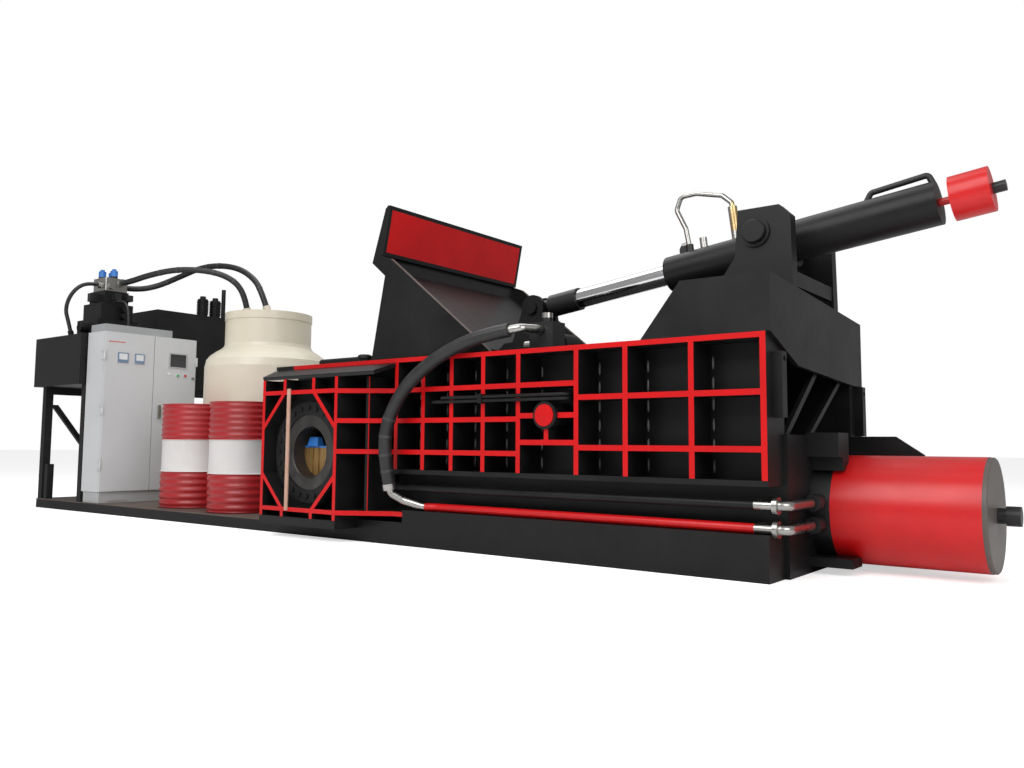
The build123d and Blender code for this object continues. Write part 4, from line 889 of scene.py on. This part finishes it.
@dataclass
class CoolingTower(SubAssembly):
    """The cream cooling tower, its fan and the two hoses that run into its mouth."""

    hose_radius: float = 0.028
    near_bands: tuple[float, ...] = (0.3, 0.42, 0.66, 0.8)
    near_route: tuple[Point, ...] = (
        (-2.9397, -0.400, 2.190), (-2.820, -0.400, 2.190), (-2.620, -0.310, 2.250),
        (-2.400, -0.190, 2.295), (-2.210, -0.060, 2.295), (-2.040, 0.070, 2.262),
        (-1.920, 0.175, 2.180), (-1.86988, 0.23921, 2.05423), (-1.86463, 0.26884, 1.93301),
    )
    far_bands: tuple[float, ...] = (0.22, 0.5, 0.58, 0.9)
    far_route: tuple[Point, ...] = (
        (-3.080, -0.3197, 2.170), (-3.080, -0.180, 2.170), (-2.990, -0.010, 2.220),
        (-2.790, 0.120, 2.320), (-2.500, 0.160, 2.385), (-2.200, 0.190, 2.380),
        (-1.925, 0.225, 2.318), (-1.735, 0.258, 2.195), (-1.64501, 0.26743, 2.07121),
        (-1.60467, 0.29772, 1.92993),
    )

    def build(self) -> None:
        """Lay the two hoses.

        Returns:
            None.
        """
        for node, route, bands in (
            ("tower_hose_near", self.near_route, self.near_bands),
            ("tower_hose_far", self.far_route, self.far_bands),
        ):
            Hose(node + "_line", route, self.hose_radius, node, bands=bands).build()

    def plan(self, dresser: Dresser) -> None:
        """Finish the shell and the fan."""
        dresser.put(["cooling_tower"], CREAM)
        dresser.put(["tower_fan"], STEEL)


@dataclass
class PowerUnit(SubAssembly):
    """The oil tank on its legs, the pumps and the valves, with a valve hose and a cable."""

    cap_top: float = 2.255
    hose_radius: float = 0.018
    hose_route: tuple[Point, ...] = (
        (-3.080, -0.5843, 2.165), (-3.080, -0.680, 2.165), (-3.110, -0.770, 2.105),
        (-3.160, -0.815, 2.000), (-3.205, -0.815, 1.890), (-3.21198, -0.77989, 1.79357),
        (-3.21673, -0.75329, 1.70256),
    )
    cable_radius: float = 0.012
    cable_route: tuple[Point, ...] = (
        (-2.905, -0.500, 1.985), (-2.800, -0.500, 1.990), (-2.690, -0.495, 1.960),
        (-2.640, -0.490, 1.860), (-2.640, -0.490, 1.715),
    )

    def build(self) -> None:
        """Lay the valve hose, and the cable to the cabinet's crown."""
        Hose("valve_hose_line", self.hose_route, self.hose_radius, "valve_hose").build()
        Hose("crown_cable", self.cable_route, self.cable_radius, stiffness=Stiffness.MEDIUM).build()

    def plan(self, dresser: Dresser) -> None:
        """Finish the tank, the pumps and the valves.

        Args:
            dresser: Where the finishes are noted.

        Returns:
            None.
        """
        dresser.put(["oil_tank", "valve_stack", "return_filters"], BLACK)
        dresser.put(["tank_legs", "pump_motors"], BLACK_DULL)
        dresser.put(["valve_manifold"], STEEL)
        dresser.put(["solenoid_caps"], CAP_BLACK, [Zone(BLUE, (over(Z_WAY, self.cap_top),))])


@dataclass
class Skid(SubAssembly):
    """The long frame under everything, and the plate on it."""

    def plan(self, dresser: Dresser) -> None:
        """Finish the frame and its plate."""
        dresser.put(["skid_frame"], BLACK_DULL)
        dresser.put(["deck_plate"], DECK)


@dataclass
class LidGear(SubAssembly):
    """The lid, its sign board, and the cylinder that opens it."""

    brow_way: Point = (0.6187, 0.0, 0.7856)
    brow_limit: float = 2.1512
    cheek_y: float = 0.712
    cheek_z: Span = (1.2, 1.869)
    sign_way: Point = (0.9820, 0.0, -0.1887)
    sign_face: float = 0.650
    sign_y: Span = (-0.714, 0.714)
    sign_up: Point = (0.1887, 0.0, 0.9820)
    sign_rise: Span = (2.0863, 2.3732)
    cylinder_way: Point = (0.99144, 0.0, 0.13053)
    socket_end: float = 2.3168
    cap_end: float = 4.758
    handle_from: float = 3.9
    nut_x: Span = (3.19, 3.27)
    nut_low: float = 1.9
    plate_end: float = 2.95
    plate_top: float = 1.86

    def plan(self, dresser: Dresser) -> None:
        """Finish the lid, the board and the cylinder.

        Args:
            dresser: Where the finishes are noted.

        Returns:
            None.
        """
        brow = over(self.brow_way, self.brow_limit)
        height = (over(Z_WAY, self.cheek_z[0]), under(Z_WAY, self.cheek_z[1]))
        near = Zone(EDGE_GREY, (brow, under(Y_WAY, -self.cheek_y), *height))
        far = Zone(EDGE_GREY, (brow, over(Y_WAY, self.cheek_y), *height))
        dresser.put(["lid_frame"], BLACK, [near, far])
        face = (
            over(self.sign_way, self.sign_face), over(Y_WAY, self.sign_y[0]), under(Y_WAY, self.sign_y[1]),
            over(self.sign_up, self.sign_rise[0]), under(self.sign_up, self.sign_rise[1]),
        )
        dresser.put(["sign_board"], BLACK, [Zone(RED, face)])
        dresser.put(["hinge_blocks", "trunnion_brackets", "trunnion_ring", "lid_barrel"], BLACK)
        dresser.put(["lid_rod"], CHROME, [Zone(BLACK, (under(self.cylinder_way, self.socket_end),))])
        dresser.put(["lid_cap"], RED, [Zone(BLACK, (over(self.cylinder_way, self.cap_end),))])
        nut = (over(X_WAY, self.nut_x[0]), under(X_WAY, self.nut_x[1]), over(Z_WAY, self.nut_low))
        plate = (under(X_WAY, self.plate_end), under(Z_WAY, self.plate_top))
        dresser.put(
            ["lid_pipework"], STEEL,
            [Zone(BLACK, (over(X_WAY, self.handle_from),)), Zone(BRASS, nut), Zone(BLACK, plate)],
        )


@dataclass
class MainPress(SubAssembly):
    """The main ram and its cylinder, with the pipes along the front."""

    rod_centre: Point = (0.0, 0.0, 0.316)
    rod_radius: float = 0.152
    red_from: float = 3.8
    cap_from: float = 4.4865
    stub_from: float = 4.512
    block_x: Span = (2.14, 2.36)
    block_y: Span = (-0.61, -0.3)
    block_z: Span = (1.18, 1.4)
    boss_y: float = -0.40
    boss_from: float = 2.9
    run_x: Span = (1.46, 1.65)
    run_y: Span = (-0.8, -0.69)
    run_z: Span = (0.18, 0.30)

    def plan(self, dresser: Dresser) -> None:
        """Finish the ram, the cylinder and the pipes.

        Args:
            dresser: Where the finishes are noted.

        Returns:
            None.
        """
        rod = Zone(CHROME, (), self.rod_centre, self.rod_radius, X_WAY)
        dresser.put(["main_ram"], DARK_STEEL, [rod])
        dresser.put(
            ["main_cylinder"], RED,
            [
                Zone(BLACK, (under(X_WAY, self.red_from),)), Zone(CAP_GREY, (over(X_WAY, self.cap_from),)),
                Zone(BLACK, (over(X_WAY, self.stub_from),)),
            ],
        )
        dresser.put(["cylinder_mount", "black_pipes"], BLACK)
        dresser.put(["red_pipe"], RED)
        dresser.put(
            ["pipe_fittings"], STEEL,
            [
                box_zone(BLACK, self.block_x, self.block_y, self.block_z),
                Zone(BLACK, (over(Y_WAY, self.boss_y), over(X_WAY, self.boss_from))),
                box_zone(RED, self.run_x, self.run_y, self.run_z),
            ],
        )


@dataclass
class Cabinet(SubAssembly):
    """The control cabinet, its doors and what is set into them."""

    plinth_top: float = 0.1865
    door_face: float = -2.4995
    past_face: float = -2.4
    label_y: Span = (-0.744, -0.586)
    label_z: Span = (1.507, 1.561)
    meters_y: tuple[Span, ...] = ((-0.654, -0.553), (-0.489, -0.395))
    meter_z: Span = (1.370, 1.462)
    meter_room: float = 0.001
    dial_face: float = -2.4925
    dial_side: float = 0.011
    dial_low: float = 0.028
    dial_high: float = 0.01
    bezel_y: Span = (-0.1445, 0.0555)
    bezel_z: Span = (1.3535, 1.5025)
    screen_x: Span = (-2.4985, -2.4955)
    screen_y: Span = (-0.1285, 0.0395)
    screen_z: Span = (1.3655, 1.4905)
    lamp_centre: Point = (0.0, -0.138, 1.295)
    lamp_radius: float = 0.0125
    lock_centre: Point = (0.0, 0.121, 1.266)
    lock_radius: float = 0.0145

    def plan(self, dresser: Dresser) -> None:
        """Finish the body, the doors and the buttons.

        Args:
            dresser: Where the finishes are noted.

        Returns:
            None.
        """
        dresser.put(["cabinet_crown"], CROWN)
        dresser.put(["cabinet_body"], CABINET, [Zone(PLINTH, (under(Z_WAY, self.plinth_top),))])
        dresser.put(["cabinet_door_left"], CABINET, self._left())
        dresser.put(["cabinet_door_right"], CABINET, self._right())
        dresser.put(["cabinet_handle"], STEEL)
        dresser.put(["start_button"], GREEN)
        dresser.put(["stop_button"], BUTTON_RED)

    def _left(self) -> list[Zone]:
        """Lay out the left door's label and meters.

        Returns:
            The zones.
        """
        proud = (self.door_face, self.past_face)
        room = self.meter_room
        z = self.meter_z
        zones = [box_zone(LABEL_RED, proud, self.label_y, self.label_z)]
        for y in self.meters_y:
            zones.append(box_zone(FRAME_BLUE, proud, (y[0] - room, y[1] + room), (z[0] - room, z[1] + room)))
            zones.append(
                box_zone(
                    DIAL, (self.dial_face, self.past_face), (y[0] + self.dial_side, y[1] - self.dial_side),
                    (z[0] + self.dial_low, z[1] - self.dial_high),
                )
            )
        return zones

    def _right(self) -> list[Zone]:
        """Lay out the right door's screen, lamp and lock.

        Returns:
            The zones.
        """
        proud = over(X_WAY, self.door_face)
        return [
            box_zone(PLINTH, (self.door_face, self.past_face), self.bezel_y, self.bezel_z),
            box_zone(SCREEN, self.screen_x, self.screen_y, self.screen_z),
            Zone(DIAL, (proud,), self.lamp_centre, self.lamp_radius, X_WAY),
            Zone(STEEL, (proud,), self.lock_centre, self.lock_radius, X_WAY),
        ]


@dataclass(frozen=True)
class Lamp:
    """One square area lamp."""

    name: str
    place: Point
    aim: Point
    size: float
    power: float

    def hang(self) -> None:
        """Add the lamp to the scene.

        Returns:
            None.
        """
        data = bpy.data.lights.new(self.name, "AREA")
        data.shape = "SQUARE"
        data.size = self.size
        data.energy = self.power
        thing = bpy.data.objects.new(self.name, data)
        way = Vector(self.aim) - Vector(self.place)
        spin = way.to_track_quat("-Z", "Y").to_matrix().to_4x4()
        thing.matrix_world = Matrix.Translation(Vector(self.place)) @ spin
        bpy.context.scene.collection.objects.link(thing)


@dataclass
class Studio:
    """Floor, backdrop, lamps, world and camera."""

    camera_place: Point = (5.2102, -4.7854, 0.6425)
    yaw: float = 37.314
    pitch: float = 4.938
    roll: float = 0.407
    focal_pixels: float = 869.26
    centre_row: float = 369.18
    sensor_width: float = 36.0
    clip_end: float = 200.0
    floor_size: float = 60.0
    floor_colour: Colour = (0.93, 0.93, 0.93)
    floor_rough: float = 0.9
    floor_glow: float = 0.55
    world_light: float = 0.36
    lamps: tuple[Lamp, ...] = (
        Lamp("key", (1.5, -7.0, 6.5), (0.5, 0.0, 0.6), 6.0, 450.0),
        Lamp("fill", (8.5, -3.5, 4.0), (2.5, 0.0, 0.8), 4.5, 180.0),
        Lamp("top", (-1.0, 1.5, 8.0), (-0.5, 0.0, 0.0), 7.0, 300.0),
    )

    def build(self) -> None:
        """Set up everything that isn't part of the machine.

        Returns:
            None.
        """
        self._camera()
        self._floor()
        self._world()
        for lamp in self.lamps:
            lamp.hang()
        bpy.context.scene.view_settings.view_transform = "Standard"

    def _camera(self) -> None:
        """Stand the camera where the photograph was taken.

        Returns:
            None.
        """
        psi, theta, rho = (math.radians(value) for value in (self.yaw, self.pitch, self.roll))
        ahead = Vector((-math.sin(psi) * math.cos(theta), math.cos(psi) * math.cos(theta), math.sin(theta)))
        level = Vector((math.cos(psi), math.sin(psi), 0.0))
        up = level.cross(ahead)
        right = math.cos(rho) * level + math.sin(rho) * up
        up = -math.sin(rho) * level + math.cos(rho) * up
        data = bpy.data.cameras.new("camera")
        data.sensor_fit = "HORIZONTAL"
        data.sensor_width = self.sensor_width
        data.lens = self.focal_pixels * self.sensor_width / IMAGE_WIDTH
        data.shift_y = (self.centre_row - IMAGE_HEIGHT / 2) / IMAGE_WIDTH
        data.clip_end = self.clip_end
        thing = bpy.data.objects.new("camera", data)
        turn = Matrix((right, up, -ahead)).transposed().to_4x4()
        thing.matrix_world = Matrix.Translation(Vector(self.camera_place)) @ turn
        bpy.context.scene.collection.objects.link(thing)
        bpy.context.scene.camera = thing

    def _floor(self) -> None:
        """Lay a wide pale floor that keeps the shadow.

        Returns:
            None.
        """
        shape = bmesh.new()
        bmesh.ops.create_grid(shape, x_segments=1, y_segments=1, size=self.floor_size)
        mesh = bpy.data.meshes.new("floor")
        shape.to_mesh(mesh)
        shape.free()
        material = bpy.data.materials.new("floor_white")
        material.use_nodes = True
        tree = material.node_tree
        shader = tree.nodes["Principled BSDF"]
        shader.inputs["Base Color"].default_value = (*self.floor_colour, 1.0)
        shader.inputs["Roughness"].default_value = self.floor_rough
        shader.inputs["Emission Color"].default_value = (1.0, 1.0, 1.0, 1.0)
        path = tree.nodes.new("ShaderNodeLightPath")
        glow = tree.nodes.new("ShaderNodeMath")
        glow.operation = "MULTIPLY"
        glow.inputs[1].default_value = self.floor_glow
        tree.links.new(path.outputs["Is Camera Ray"], glow.inputs[0])
        tree.links.new(glow.outputs[0], shader.inputs["Emission Strength"])
        mesh.materials.append(material)
        thing = bpy.data.objects.new("floor", mesh)
        bpy.context.scene.collection.objects.link(thing)

    def _world(self) -> None:
        """Light softly from all round, and show white behind.

        Returns:
            None.
        """
        world = bpy.data.worlds.new("studio")
        bpy.context.scene.world = world
        world.use_nodes = True
        tree = world.node_tree
        back = tree.nodes["Background"]
        back.inputs["Color"].default_value = (1.0, 1.0, 1.0, 1.0)
        path = tree.nodes.new("ShaderNodeLightPath")
        seen = tree.nodes.new("ShaderNodeMath")
        seen.operation = "MAXIMUM"
        tree.links.new(path.outputs["Is Camera Ray"], seen.inputs[0])
        tree.links.new(path.outputs["Is Transmission Ray"], seen.inputs[1])
        level = tree.nodes.new("ShaderNodeMapRange")
        level.inputs["To Min"].default_value = self.world_light
        level.inputs["To Max"].default_value = 1.0
        tree.links.new(seen.outputs[0], level.inputs["Value"])
        tree.links.new(level.outputs["Result"], back.inputs["Strength"])


def main() -> None:
    """Dress the machine and set up the studio.

    Returns:
        None.
    """
    logging.basicConfig(level=logging.INFO, format="%(name)s: %(message)s")
    Studio().build()
    dresser = Dresser()
    parts: tuple[SubAssembly, ...] = (
        Drums(), Chamber(), FeedPort(), CoolingTower(), PowerUnit(), Skid(), LidGear(), MainPress(),
        Cabinet(),
    )
    for part in parts:
        part.build()
        part.plan(dresser)
        LOG.info("%s is ready", type(part).__name__)
    dresser.dress()
    LOG.info("%d new pieces", SHOP.count)


if __name__ == "__main__":
    main()
